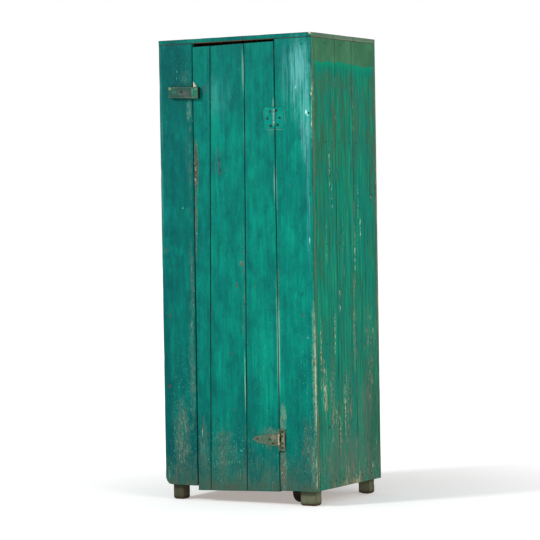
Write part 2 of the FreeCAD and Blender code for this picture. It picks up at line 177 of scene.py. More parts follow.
def new_group(name, inputs, outputs):
    """An empty shader group with named sockets; gives its tree, a writer for it, and its inner sockets."""
    tree = bpy.data.node_groups.new(name, "ShaderNodeTree")
    for title, kind in inputs.items():
        tree.interface.new_socket(title, in_out="INPUT", socket_type=kind)
    for title, kind in outputs.items():
        tree.interface.new_socket(title, in_out="OUTPUT", socket_type=kind)
    entry = tree.nodes.new("NodeGroupInput")
    leave = tree.nodes.new("NodeGroupOutput")
    return tree, Tree(tree), entry.outputs, leave.inputs


VECTOR, FLOAT, COLOUR = "NodeSocketVector", "NodeSocketFloat", "NodeSocketColor"


def make_long_grain():
    """Patterns that run with the wood: fibres, brush strokes and broad streaks, plus an even blotch."""
    tree, t, given, out = new_group(
        "long_grain", {"Vector": VECTOR}, {"Fibre": FLOAT, "Brush": FLOAT, "Streak": FLOAT, "Blotch": FLOAT}
    )
    vector = given["Vector"]
    fine = t.noise(t.stretch(vector, (420, 420, 9)), detail=4, roughness=0.65, distortion=0.3)
    ridge = t.noise(t.stretch(vector, (150, 150, 3), (3, 1, 7)), detail=3, distortion=0.6)
    t.feed(out["Fibre"], t.span(t.plus(t.times(fine, 0.55), t.times(ridge, 0.45)), 0.33, 0.67))
    brush = t.noise(t.stretch(vector, (110, 110, 6), (11, 4, 2)), detail=5, roughness=0.7)
    t.feed(out["Brush"], t.span(brush, 0.3, 0.7))
    streak = t.noise(t.stretch(vector, (24, 24, 2), (5, 9, 1)), detail=5, roughness=0.62, distortion=0.5)
    t.feed(out["Streak"], t.span(streak, 0.32, 0.68))
    blotch = t.noise(t.stretch(vector, (1, 1, 0.55)), scale=15.0, detail=6, roughness=0.62)
    t.feed(out["Blotch"], t.span(blotch, 0.36, 0.64))
    return tree


def make_patch():
    """A soft-edged spot round a centre, as wide as the half sizes say, with a ragged rim."""
    tree, t, given, out = new_group(
        "patch", {"Vector": VECTOR, "Centre": VECTOR, "Half Size": VECTOR, "Ragged": FLOAT}, {"Mask": FLOAT}
    )
    away = t.node("ShaderNodeVectorMath", operation="SUBTRACT")
    t.feed(away.inputs[0], given["Vector"])
    t.feed(away.inputs[1], given["Centre"])
    scaled = t.node("ShaderNodeVectorMath", operation="DIVIDE")
    t.feed(scaled.inputs[0], away.outputs[0])
    t.feed(scaled.inputs[1], given["Half Size"])
    reach = t.node("ShaderNodeVectorMath", operation="LENGTH")
    t.feed(reach.inputs[0], scaled.outputs[0])
    rough = t.noise(t.stretch(given["Vector"], (90, 90, 30)), detail=5, roughness=0.7)
    wander = t.times(t.reckon("SUBTRACT", rough, 0.5), given["Ragged"], 4.0)
    t.feed(out["Mask"], t.span(t.plus(reach.outputs["Value"], wander), 1.15, 0.35))
    return tree


def make_paint_wear():
    """Wears a coat of paint by how hard a place is rubbed, with marks that follow the grain.

    Thin places go grey-green, flakes show the bare colour, and pale scratches, specks and brown pits
    lie on top."""
    tree, t, given, out = new_group(
        "paint_wear",
        {"Vector": VECTOR, "Rub": FLOAT, "Paint": COLOUR, "Bare": COLOUR, "Pale": COLOUR},
        {"Colour": COLOUR, "Flake": FLOAT},
    )
    vector, rub, pale = given["Vector"], given["Rub"], given["Pale"]
    coarse = t.noise(t.stretch(vector, (95, 95, 26)), detail=6, roughness=0.74, distortion=0.4)
    small = t.noise(t.stretch(vector, (300, 300, 90), (2, 5, 3)), detail=4, roughness=0.65)
    wide = t.noise(t.stretch(vector, (18, 18, 5), (7, 3, 6)), detail=3)
    field = t.plus(t.times(coarse, 0.5), t.times(small, 0.28), t.times(wide, 0.22))
    level = t.plus(t.times(rub, -0.27), 0.7)
    flake = t.span(t.reckon("SUBTRACT", field, level), -0.01, 0.025)
    thin = t.span(t.reckon("SUBTRACT", field, t.plus(level, -0.09)), -0.04, 0.07)
    dust = t.noise(t.stretch(vector, (230, 230, 130), (8, 1, 4)), detail=3, roughness=0.6)
    need = t.plus(t.times(rub, -0.095), 0.715)
    speck = t.span(t.reckon("SUBTRACT", dust, need), -0.008, 0.03)
    lines = t.noise(t.stretch(vector, (210, 210, 7), (6, 2, 9)), detail=3, roughness=0.6, distortion=0.7)
    scratch = t.span(t.reckon("SUBTRACT", lines, t.plus(t.times(rub, -0.1), 0.72)), 0.0, 0.03)
    pits = t.noise(t.stretch(vector, (240, 240, 150), (1, 9, 5)), detail=2, roughness=0.6)
    pit = t.span(t.reckon("SUBTRACT", pits, t.plus(need, 0.005)), -0.006, 0.02)

    colour = t.blend(t.times(thin, 0.3), given["Paint"], GREY_WORN)
    colour = t.blend(t.times(scratch, t.plus(0.25, t.times(rub, 0.6))), colour, pale)
    colour = t.blend(t.times(flake, 0.85), colour, given["Bare"])
    colour = t.blend(t.times(speck, t.plus(0.3, t.times(rub, 0.7))), colour, pale)
    colour = t.blend(t.times(pit, t.plus(0.2, t.times(rub, 0.6))), colour, BROWN_WORN)
    t.feed(out["Colour"], colour)
    t.feed(out["Flake"], flake)
    return tree


def make_edge_rub():
    """How hard the arrises are rubbed: strong at the very edge, and only along parts of it."""
    tree, t, given, out = new_group(
        "edge_rub", {"Edge": FLOAT, "Blotch": FLOAT, "Strength": FLOAT}, {"Rub": FLOAT}
    )
    at_edge = t.span(given["Edge"], 0.55, 1.0)
    in_parts = t.span(given["Blotch"], 0.25, 0.9)
    t.feed(out["Rub"], t.times(at_edge, in_parts, given["Strength"]))
    return tree


def make_pine():
    """Unpainted pine: figure and fibres along the board, knots, and grey dust."""
    tree, t, given, out = new_group(
        "pine",
        {"Vector": VECTOR, "Edge": FLOAT, "Light": COLOUR, "Dark": COLOUR, "Dust": FLOAT},
        {"Colour": COLOUR, "Fibre": FLOAT, "Relief": FLOAT},
    )
    vector, light, dark = given["Vector"], given["Light"], given["Dark"]
    wood = t.group(LONG_GRAIN, {"Vector": vector})
    bend = t.noise(t.stretch(vector, (4, 4, 0.7)), detail=2)
    inputs = {
        "Vector": t.stretch(vector, (11, 11, 0.9)), "Scale": 1.0,
        "Distortion": t.times(bend, 16.0), "Detail": 4.0,
    }
    rings = t.node("ShaderNodeTexWave", inputs, wave_type="BANDS", bands_direction="DIAGONAL").outputs["Fac"]
    colour = t.blend(t.times(rings, 0.4), light, dark)
    colour = t.blend(t.times(wood["Fibre"], 0.5), colour, dark)
    colour = t.blend(t.times(wood["Brush"], 0.3), colour, dark)
    colour = t.blend(t.times(wood["Blotch"], 0.3), colour, light)
    cells = t.node("ShaderNodeTexVoronoi", {"Vector": t.stretch(vector, (7, 7, 2.2)), "Scale": 1.0}).outputs
    knot = t.times(t.span(cells["Distance"], 0.13, 0.06), t.span(t.split(cells["Color"])[1], 0.72, 0.76))
    colour = t.blend(t.times(knot, 0.8), colour, KNOT_BROWN)
    colour = t.blend(t.times(given["Edge"], 0.3), colour, dark)
    colour = t.blend(t.times(wood["Streak"], given["Dust"]), colour, WOOD_DUST)
    t.feed(out["Colour"], colour)
    t.feed(out["Fibre"], wood["Fibre"])
    t.feed(out["Relief"], t.plus(t.times(wood["Fibre"], 0.5), t.times(rings, 0.25)))
    return tree


def make_old_iron():
    """Sheet iron under two shades of old paint, worn most on its edges, the metal dull and partly rusty.

    Kept is where paint is left, and Bright is where clean metal shows."""
    tree, t, given, out = new_group(
        "old_iron",
        {
            "Vector": VECTOR, "Edge": FLOAT, "Cover": FLOAT,
            "Paint": COLOUR, "Second Paint": COLOUR, "Metal": COLOUR, "Rust": COLOUR,
        },
        {"Colour": COLOUR, "Fine": FLOAT, "Kept": FLOAT, "Bright": FLOAT},
    )
    blotch = t.noise(given["Vector"], scale=110.0, detail=6, roughness=0.7)
    fine = t.noise(t.stretch(given["Vector"], (1, 1, 1), (3, 2, 1)), scale=330.0, detail=5, roughness=0.7)
    field = t.plus(t.times(blotch, 0.6), t.times(fine, 0.4))
    kept = t.span(t.plus(field, t.times(given["Edge"], -0.1), t.plus(given["Cover"], -0.5)), 0.47, 0.53)
    bare = t.blend(t.span(fine, 0.42, 0.58), given["Metal"], given["Rust"])
    coat = t.blend(t.span(blotch, 0.42, 0.6), given["Paint"], given["Second Paint"])
    t.feed(out["Colour"], t.blend(kept, bare, coat))
    t.feed(out["Fine"], fine)
    t.feed(out["Kept"], kept)
    t.feed(out["Bright"], t.times(t.inverse(kept), t.span(fine, 0.52, 0.4)))
    return tree


LONG_GRAIN = make_long_grain()
PATCH = make_patch()
PAINT_WEAR = make_paint_wear()
EDGE_RUB = make_edge_rub()
PINE = make_pine()
OLD_IRON = make_old_iron()


def finish_surface(material, t, colour, roughness, height, bump=0.5, distance=0.6 * MM, metallic=0.0):
    """Puts colour, roughness and relief on the material's own Principled shader."""
    shader = material.node_tree.nodes["Principled BSDF"]
    t.feed(shader.inputs["Base Color"], colour)
    t.feed(shader.inputs["Roughness"], roughness)
    t.feed(shader.inputs["Metallic"], metallic)
    shader.inputs["Specular IOR Level"].default_value = OLD_SHINE
    relief = t.node("ShaderNodeBump", {"Strength": bump, "Distance": distance, "Height": height})
    t.feed(shader.inputs["Normal"], relief.outputs[0])
    return material


def new_material(name):
    """A material with its node tree's writer."""
    material = bpy.data.materials.new(name)
    material.use_nodes = True
    return material, Tree(material.node_tree)


GRAIN_TURN = {"x": (0, math.radians(90), 0), "y": (math.radians(90), 0, 0), "z": (0, 0, 0)}


def patches(t, place, spots):
    """The strongest of several spots; each is a centre, half sizes, a ragged share and a strength."""
    masks = []
    for centre, half, ragged, strength in spots:
        inputs = {"Vector": place, "Centre": centre, "Half Size": half, "Ragged": ragged}
        masks.append(t.times(t.group(PATCH, inputs)["Mask"], strength))
    return t.either(*masks)


DEEP = 0.2  # a spot reaches this far in front of its face and behind it, in metres


def front_patches(t, place, *rows):
    """Spots on the front. A row has x from the middle, z from the floor, half width and half height, all in
    millimetres, then how ragged and how strong."""
    return patches(t, place, [
        ((x * MM, FRONT_Y, z * MM), (half_x * MM, DEEP, half_z * MM), ragged, strength)
        for x, z, half_x, half_z, ragged, strength in rows
    ])


def side_patches(t, place, *rows):
    """Spots on a side. A row has y behind the front face, z from the floor, half depth and half height, then
    how ragged and how strong."""
    return patches(t, place, [
        ((HALF_WIDTH, FRONT_Y + y * MM, z * MM), (DEEP, half_y * MM, half_z * MM), ragged, strength)
        for y, z, half_y, half_z, ragged, strength in rows
    ])


def corner_patches(t, place, *rows):
    """Rubs on the near corner's arris. A row has z from the floor, half height and half width, then how
    ragged and how strong."""
    return patches(t, place, [
        ((HALF_WIDTH, FRONT_Y, z * MM), (wide * MM, wide * MM, half_z * MM), ragged, strength)
        for z, half_z, wide, ragged, strength in rows
    ])


# ---------------------------------------------------------------- paints and metals


def wear_paint(t, vector, rub, paint, bare, pale=PALE_SPECK):
    """The coat with its wear, and the mask of the flakes that are gone."""
    inputs = {"Vector": vector, "Rub": rub, "Paint": paint, "Bare": bare, "Pale": pale}
    worn = t.group(PAINT_WEAR, inputs)
    return worn["Colour"], worn["Flake"]


def rubbed_arrises(t, edge, wood, strength):
    """The mask of the rubbed arrises; wood is the outputs of the long grain group."""
    return t.group(EDGE_RUB, {"Edge": edge, "Blotch": wood["Blotch"], "Strength": strength})["Rub"]


def make_teal_paint():
    """The front: semi-gloss teal, brush-streaked, chalk-white with a painted sheen in places, rubbed where
    hands and feet reach.
    """
    material, t = new_material("teal_front_paint")
    place = t.place()
    height = t.split(place)[2]
    wood = t.group(LONG_GRAIN, {"Vector": place})
    tone = t.attribute("tone")

    colour = t.blend(wood["Streak"], TEAL, TEAL_BRIGHT)
    colour = t.blend(t.times(wood["Blotch"], 0.45), colour, TEAL_DEEP)
    colour = t.blend(t.times(wood["Brush"], 0.45), colour, TEAL_DEEP)
    colour = t.blend(t.times(t.inverse(wood["Fibre"]), 0.25), colour, TEAL_DARK)
    colour = t.blend(tone, colour, TEAL_DARK)
    mottle = t.noise(t.stretch(place, (34, 34, 15), (5, 5, 5)), detail=5, roughness=0.65)
    colour = t.blend(t.span(mottle, 0.5, 0.66, 0.0, 0.3), colour, TEAL_DARK)
    colour = t.blend(t.span(mottle, 0.48, 0.34, 0.0, 0.25), colour, sRGB(0, 142, 128))
    dabs = t.noise(t.stretch(place, (170, 170, 90), (2, 2, 2)), detail=3, roughness=0.6)
    colour = t.blend(t.span(dabs, 0.5, 0.7, 0.0, 0.22), colour, TEAL_DARK)
    shaded = t.either(t.span(height, 1.25, 1.6, 0.0, 0.25), t.span(height, 0.5, 0.1, 0.0, 0.42))
    colour = t.blend(shaded, colour, TEAL_DARK)
    corner_shade = front_patches(t, place, (-250, 1560, 60, 160, 0.2, 0.4), (-296, 400, 14, 330, 0.3, 0.3))
    colour = t.blend(corner_shade, colour, TEAL_DARK)
    # chalk-white paint along the strokes, partly a painted sheen of reflected light, strongest on the right
    # stile's upper part
    sheen_and_chalk_spots = front_patches(
        t, place,
        (262, 1500, 50, 165, 0.3, 0.5), (284, 1370, 26, 195, 0.3, 0.5), (294, 1150, 10, 340, 0.3, 0.3),
        (210, 1500, 26, 130, 0.2, 0.15), (-306, 1250, 5, 420, 0.2, 0.25), (-60, 1440, 60, 90, 0.2, 0.12),
    )
    strokes = t.plus(t.times(wood["Brush"], 0.45), t.times(wood["Fibre"], 0.25), t.times(wood["Streak"], 0.3))
    sheen_and_chalk_lines = t.times(sheen_and_chalk_spots, t.span(strokes, 0.3, 0.72))
    colour = t.blend(sheen_and_chalk_lines, colour, CHALK_AND_SHEEN)
    worn_lines = front_patches(
        t, place,
        (36, 1530, 4, 90, 0.15, 0.7), (158, 1130, 4, 70, 0.15, 0.7), (168, 560, 4, 170, 0.2, 0.6),
        (192, 1350, 3, 40, 0.2, 0.6), (161, 1317, 44, 2.4, 0.3, 0.7), (160, 1402, 8, 30, 0.4, 0.6),
        (203, 1360, 3, 34, 0.35, 0.6), (120, 1372, 3, 20, 0.3, 0.3),
    )
    colour = t.blend(worn_lines, colour, sRGB(96, 150, 136))
    pale_seams = front_patches(
        t, place,
        (161, 560, 3, 230, 0.3, 0.9), (167, 560, 2.2, 180, 0.3, 0.8), (167, 1100, 2, 120, 0.3, 0.4),
        (40, 1500, 2, 100, 0.3, 0.7), (38, 1280, 1.6, 90, 0.3, 0.4), (26, 420, 3, 110, 0.5, 0.6),
    )
    colour = t.blend(pale_seams, colour, sRGB(130, 180, 160))
    hazes = front_patches(
        t, place,
        (178, 300, 15, 65, 0.3, 0.95), (134, 258, 38, 14, 0.6, 0.5), (306, 470, 9, 290, 0.4, 0.95),
        (300, 150, 14, 110, 0.4, 0.7), (178, 130, 16, 90, 0.3, 0.8), (-193, 520, 14, 200, 0.4, 0.25),
        (-190, 1395, 12, 44, 0.4, 0.6),
    )
    crumbs = t.noise(t.stretch(place, (150, 150, 90), (1, 5, 2)), detail=5, roughness=0.7)
    hazes = t.times(hazes, t.span(crumbs, 0.36, 0.6))
    colour = t.blend(hazes, colour, sRGB(116, 146, 126))
    flecked = front_patches(
        t, place,
        (-225, 1535, 50, 80, 0.25, 0.7), (-290, 1320, 20, 220, 0.2, 0.25), (-230, 300, 70, 300, 0.2, 0.9),
        (-50, 160, 120, 160, 0.2, 1.0), (270, 380, 50, 320, 0.2, 0.6), (100, 500, 60, 300, 0.2, 0.25),
    )
    flecks = t.noise(t.stretch(place, (170, 170, 80), (4, 4, 4)), detail=3, roughness=0.7, distortion=0.3)
    colour = t.blend(t.times(flecked, t.span(flecks, 0.58, 0.68), 0.65), colour, sRGB(96, 182, 162))
    # darker within a few millimetres of each arris and seam: dirt, and painted shade in the creases
    seam_dirt_and_shade = t.times(t.span(t.attribute("edge"), 0.72, 1.0), 0.55)
    colour = t.blend(seam_dirt_and_shade, colour, sRGB(0, 52, 50))

    low_wear = t.times(t.span(height, 0.36, 0.03), 0.52)
    rubbed = front_patches(
        t, place,
        (-163, 1185, 13, 130, 0.25, 1.0), (-167, 1010, 10, 170, 0.3, 0.75),
        (-189, 1180, 10, 220, 0.25, 0.4), (-189, 740, 12, 260, 0.25, 0.6), (-193, 380, 16, 200, 0.25, 0.5),
        (-186, 1330, 8, 20, 0.3, 0.5), (-240, 220, 55, 170, 0.3, 0.7), (-150, 190, 24, 150, 0.25, 0.7),
        (-60, 180, 70, 120, 0.3, 0.65), (177, 120, 17, 110, 0.06, 1.0), (172, 290, 10, 50, 0.2, 0.6),
        (120, 235, 80, 50, 0.35, 0.62), (285, 200, 40, 170, 0.3, 0.6), (306, 560, 8, 560, 0.3, 0.45),
        (28, 800, 12, 300, 0.3, 0.4), (166, 700, 10, 300, 0.3, 0.45), (150, 1340, 40, 60, 0.25, 0.35),
        (20, 850, 12, 14, 0.3, 0.8), (-220, 1500, 60, 60, 0.3, 0.3),
    )
    corner = corner_patches(
        t, place,
        (590, 130, 3, 0.6, 0.5), (1334, 22, 6, 0.35, 1.0), (1436, 9, 7, 0.2, 1.0), (900, 120, 3, 0.6, 0.4),
        (90, 60, 7, 0.3, 1.0), (1648, 8, 12, 0.3, 1.0),
    )
    arrises = rubbed_arrises(t, t.attribute("edge"), wood, 0.42)
    rub = t.reckon("MINIMUM", t.either(arrises, low_wear, rubbed, corner), 1.0)
    bare = t.blend(wood["Blotch"], PINK_WORN, GREY_WORN)
    bare = t.blend(t.times(wood["Fibre"], 0.35), bare, BROWN_WORN)
    greyed = front_patches(t, place, (-255, 260, 60, 200, 0.3, 0.8), (-90, 130, 110, 90, 0.3, 0.6))
    bare = t.blend(greyed, bare, sRGB(92, 118, 108))
    bare = t.blend(t.either(t.times(t.attribute("worn"), 0.8), corner), bare, CREAM)
    handled = front_patches(t, place, (-165, 1180, 20, 150, 0.2, 0.7))
    bare = t.blend(handled, bare, sRGB(72, 56, 50))
    colour, flake = wear_paint(t, place, rub, colour, bare)
    # the seams darkened again over the wear: dirt and painted shade
    seam_dirt_and_shade = t.times(seam_dirt_and_shade, t.inverse(corner), t.inverse(pale_seams), 0.8)
    colour = t.blend(seam_dirt_and_shade, colour, sRGB(0, 44, 42))
    corner_light = corner_patches(
        t, place,
        (440, 270, 5, 0.3, 0.9), (140, 80, 4, 0.3, 0.7), (1400, 150, 2.5, 0.5, 0.7),
    )
    colour = t.blend(t.times(corner_light, t.span(crumbs, 0.3, 0.5)), colour, sRGB(184, 190, 160))
    # dark lines along the right and lower edges of both hinge plates: painted shadow that the plates cast
    plate_shadow = front_patches(
        t, place,
        (188, 229, 3, 41, 0.05, 0.9), (170, 189, 20, 3, 0.05, 0.9), (201, 1356, 2, 30, 0.2, 0.4),
        (160, 1321, 34, 2, 0.2, 0.6),
    )
    colour = t.blend(plate_shadow, colour, sRGB(14, 28, 24))
    dings = front_patches(
        t, place,
        (-2, 772, 4, 12, 0.15, 0.8), (-8, 752, 3, 5, 0.1, 0.6), (267, 668, 4, 5, 0.1, 0.8),
        (306, 503, 4, 8, 0.15, 0.8), (-282, 663, 5, 6, 0.15, 0.8), (-291, 408, 7, 8, 0.2, 0.8),
        (-130, 237, 6, 6, 0.2, 0.8), (-74, 233, 5, 5, 0.2, 0.8), (-296, 900, 4, 16, 0.2, 0.6),
        (-222, 1151, 4, 4, 0.1, 0.5), (220, 1120, 4, 4, 0.1, 0.5), (-20, 330, 5, 5, 0.2, 0.5),
    )
    colour = t.blend(dings, colour, sRGB(96, 66, 56))
    glints = front_patches(
        t, place,
        (290, 1373, 5, 9, 0.3, 0.9), (296, 1362, 3, 4, 0.3, 0.8), (284, 590, 4, 4, 0.3, 0.25),
        (250, 1462, 3, 8, 0.3, 0.5), (-222, 1048, 3, 4, 0.3, 0.3), (296, 930, 3, 14, 0.4, 0.6),
    )
    colour = t.blend(glints, colour, sRGB(176, 214, 210))
    smears = front_patches(
        t, place,
        (-29, 531, 12, 5, 0.25, 0.6), (-120, 640, 6, 6, 0.2, 0.4), (-122, 1468, 9, 26, 0.35, 0.7),
        (-200, 1240, 8, 80, 0.4, 0.3),
    )
    colour = t.blend(smears, colour, sRGB(56, 90, 94))
    grime = t.times(t.span(height, 0.2, 0.04), t.span(wood["Streak"], 0.1, 0.9), 0.5)
    grime = t.either(grime, t.times(t.span(height, 0.1, 0.055), t.span(mottle, 0.35, 0.55), 0.75))
    colour = t.blend(grime, colour, sRGB(80, 92, 78))
    ghost = make_ghost(t, place)
    colour = t.blend(ghost, colour, sRGB(78, 92, 88))
    ghost_dark = front_patches(t, place, (-66, 1216, 5, 12, 0.15, 0.6), (-63, 1180, 5, 16, 0.2, 0.55))
    colour = t.blend(ghost_dark, colour, sRGB(12, 62, 70))
    worn = t.either(flake, ghost)

    roughness = t.plus(0.42, t.times(worn, 0.35), t.times(wood["Brush"], 0.14), t.times(sheen_and_chalk_lines, 0.2))
    relief = t.plus(t.times(wood["Fibre"], 0.3), t.times(wood["Brush"], 0.3), t.times(worn, -0.5))
    return finish_surface(material, t, colour, roughness, relief)


def make_ghost(t, place):
    """The print of a pull handle that is gone: two stacked loops, with the smear of its nail between them."""
    loops = []
    for x, z, wide, high in ((-71, 1234, 11, 24), (-74, 1190, 13, 25)):
        outer = front_patches(t, place, (x, z, wide, high, 0.03, 1.0))
        inner = front_patches(t, place, (x, z, wide * 0.66, high * 0.8, 0.03, 1.6))
        loops.append(t.reckon("MAXIMUM", t.reckon("SUBTRACT", outer, inner), 0.0))
    smear = front_patches(
        t, place,
        (-66, 1206, 8, 8, 0.1, 0.8), (-65, 1188, 7, 18, 0.1, 0.45),
        (-62, 1171, 9, 8, 0.1, 0.6), (-42, 1180, 12, 4, 0.3, 0.25),
    )
    return t.reckon("MINIMUM", t.either(smear, *loops), 0.85)


def make_thin_green():
    """The sides and top: the same teal, brushed thin over an older sage green that still shows.

    Where Band is 1, the thin coat stops short of the top in a wavy brush end. Browned says how stained
    the thin coat is."""
    tree, t, given, out = new_group(
        "thin_green",
        {
            "Place": VECTOR, "Along Grain": VECTOR, "Tone": FLOAT, "Edge": FLOAT,
            "Browned": FLOAT, "Band": FLOAT,
        },
        {"Colour": COLOUR, "Roughness": FLOAT, "Relief": FLOAT},
    )
    place, turned = given["Place"], given["Along Grain"]
    height = t.split(place)[2]
    wood = t.group(LONG_GRAIN, {"Vector": turned})

    sage = t.blend(wood["Blotch"], sRGB(74, 128, 95), sRGB(58, 110, 82))
    sage = t.blend(t.times(wood["Fibre"], 0.3), sage, sRGB(88, 112, 80))
    sage = t.blend(t.times(wood["Brush"], 0.3), sage, sRGB(48, 104, 84))
    thin = t.blend(wood["Brush"], sRGB(0, 148, 116), sRGB(0, 104, 90))
    thin = t.blend(t.times(wood["Blotch"], 0.6), thin, sRGB(0, 116, 106))
    mottle = t.noise(t.stretch(turned, (46, 46, 11), (3, 3, 3)), detail=6, roughness=0.72)
    olive = t.times(t.span(wood["Streak"], 0.3, 0.85), t.span(mottle, 0.42, 0.58))
    olive = t.reckon("MINIMUM", t.plus(t.times(olive, t.plus(0.65, given["Tone"])), given["Browned"]), 1.0)
    thin = t.blend(t.times(olive, 0.62), thin, sRGB(62, 90, 64))
    thin = t.blend(t.span(mottle, 0.46, 0.32, 0.0, 0.4), thin, sRGB(0, 136, 110))
    thin = t.blend(t.times(t.span(wood["Fibre"], 0.65, 1.0), 0.5), thin, sRGB(20, 62, 44))
    yellowed = t.times(t.span(wood["Fibre"], 0.3, 0.0), t.span(wood["Streak"], 0.55, 0.1), 0.55)
    thin = t.blend(yellowed, thin, sRGB(88, 152, 104))
    # darker low on the rear board and along the rear edge: painted shade
    low_rear_shade = side_patches(t, place, (410, 280, 80, 300, 0.3, 0.6), (470, 900, 24, 700, 0.3, 0.4))
    thin = t.blend(low_rear_shade, thin, sRGB(44, 84, 66))
    stains = side_patches(
        t, place,
        (158, 1330, 14, 190, 0.4, 0.7), (166, 1050, 9, 240, 0.4, 0.5), (330, 1280, 10, 150, 0.4, 0.6),
        (290, 1180, 8, 200, 0.5, 0.5), (60, 1470, 30, 26, 0.5, 0.4), (440, 1250, 20, 260, 0.4, 0.4),
    )
    thin = t.blend(t.times(stains, t.span(mottle, 0.36, 0.56)), thin, sRGB(78, 90, 74))
    wave = t.noise(t.stretch(place, (5.5, 5.5, 0), (0.9, 0.9, 0)), detail=3)
    brush_end = t.plus(1.553, t.times(t.reckon("SUBTRACT", wave, 0.5), 0.09))
    below = t.reckon("SUBTRACT", brush_end, height)
    banded = t.blend(t.span(below, -0.003, 0.003), sage, thin)
    wet_end = t.times(t.span(below, 0.03, 0.0), t.span(below, -0.002, 0.002), 0.7)
    banded = t.blend(wet_end, banded, sRGB(0, 138, 106))
    aged = t.times(t.span(below, 0.02, 0.05), t.span(below, 0.5, 0.05), t.span(mottle, 0.4, 0.56))
    banded = t.blend(t.times(aged, 0.34), banded, sRGB(76, 98, 70))
    mixed = t.blend(t.span(wood["Blotch"], 0.3, 0.7), thin, sage)
    mixed = t.blend(t.times(wood["Streak"], 0.4), mixed, GREY_WORN)
    colour = t.blend(given["Band"], mixed, banded)

    low_wear = t.times(t.span(height, 0.5, 0.05), 0.6)
    rubbed = side_patches(
        t, place,
        (68, 390, 20, 110, 0.7, 0.65), (54, 540, 16, 180, 0.5, 0.5), (120, 420, 26, 240, 0.35, 0.6),
        (150, 250, 60, 160, 0.35, 0.6), (230, 320, 50, 260, 0.35, 0.6), (300, 1380, 10, 240, 0.3, 0.5),
        (292, 650, 24, 300, 0.3, 0.6), (400, 520, 60, 260, 0.35, 0.5), (210, 860, 14, 240, 0.3, 0.5),
        (430, 1080, 8, 10, 0.2, 0.8), (236, 60, 240, 22, 0.3, 0.75), (2, 430, 6, 280, 0.3, 0.8),
        (4, 1460, 9, 22, 0.3, 0.9), (12, 1450, 12, 340, 0.3, 0.55), (470, 900, 14, 640, 0.3, 0.5),
        (236, 1640, 240, 9, 0.3, 0.8),
    )
    arrises = rubbed_arrises(t, given["Edge"], wood, 0.8)
    rub = t.reckon("MINIMUM", t.either(arrises, low_wear, rubbed), 1.0)
    bare = t.blend(wood["Blotch"], CREAM, sRGB(150, 140, 112))
    bare = t.blend(t.times(wood["Fibre"], 0.6), bare, sRGB(92, 80, 58))
    colour, flake = wear_paint(t, turned, rub, colour, bare, CREAM)
    grime = t.times(t.span(height, 0.3, 0.04), t.span(wood["Streak"], 0.2, 1.0), 0.45)
    colour = t.blend(grime, colour, sRGB(88, 96, 78))

    # darker at each arris and seam: dirt, and painted shade in the creases
    seam_dirt_and_shade = t.times(t.span(given["Edge"], 0.75, 1.0), 0.5)
    colour = t.blend(seam_dirt_and_shade, colour, sRGB(30, 48, 36))
    pale_lines = side_patches(
        t, place,
        (328, 1050, 4, 60, 0.6, 1.0), (344, 978, 5, 50, 0.6, 1.0), (135, 1068, 4, 60, 0.6, 1.0),
        (142, 600, 5, 90, 0.6, 1.0), (182, 715, 4, 60, 0.6, 1.0), (60, 420, 9, 110, 0.7, 1.0),
        (40, 520, 6, 130, 0.7, 1.0), (174, 225, 7, 90, 0.6, 1.0), (120, 1180, 4, 110, 0.6, 0.9),
        (300, 880, 5, 120, 0.6, 1.0), (90, 900, 4, 90, 0.6, 0.8), (210, 330, 5, 100, 0.6, 0.9),
    )
    crumbs = t.noise(t.stretch(place, (150, 150, 60), (6, 2, 4)), detail=4, roughness=0.7, distortion=0.6)
    colour = t.blend(t.times(pale_lines, t.span(crumbs, 0.5, 0.6), 0.85), colour, CREAM)
    hazy = side_patches(t, place, (357, 300, 70, 160, 0.4, 0.8), (250, 130, 240, 120, 0.4, 0.8))
    hazy = t.times(hazy, t.span(wood["Brush"], 0.25, 0.8))
    colour = t.blend(hazy, colour, sRGB(96, 116, 104))
    holes = side_patches(t, place, (94, 272, 5, 8, 0.1, 1.0), (433, 1085, 6, 8, 0.1, 0.8))
    colour = t.blend(holes, colour, sRGB(44, 34, 26))

    roughness = t.plus(0.46, t.times(flake, 0.3), t.times(wood["Brush"], 0.14))
    relief = t.plus(t.times(wood["Fibre"], 0.4), t.times(wood["Brush"], 0.3), t.times(flake, -0.5))
    t.feed(out["Colour"], colour)
    t.feed(out["Roughness"], roughness)
    t.feed(out["Relief"], relief)
    return tree


THIN_GREEN = make_thin_green()


def make_green_paint(name, along="z", band=0.0, browned=0.0):
    """A finish in the thin green paint, with its grain along one axis."""
    material, t = new_material(name)
    place = t.place()
    inputs = {
        "Place": place, "Along Grain": t.stretch(place, (1, 1, 1), turn=GRAIN_TURN[along]),
        "Tone": t.attribute("tone"), "Edge": t.attribute("edge"), "Browned": browned, "Band": band,
    }
    green = t.group(THIN_GREEN, inputs)
    return finish_surface(material, t, green["Colour"], green["Roughness"], green["Relief"])


def make_wood(name, light, dark, along="z", dusty=0.25):
    """A finish of unpainted pine, with its grain along one axis."""
    material, t = new_material(name)
    turned = t.stretch(t.place(), (1, 1, 1), turn=GRAIN_TURN[along])
    inputs = {"Vector": turned, "Edge": t.attribute("edge"), "Light": light, "Dark": dark, "Dust": dusty}
    pine = t.group(PINE, inputs)
    roughness = t.plus(0.78, t.times(pine["Fibre"], 0.1))
    return finish_surface(material, t, pine["Colour"], roughness, pine["Relief"])


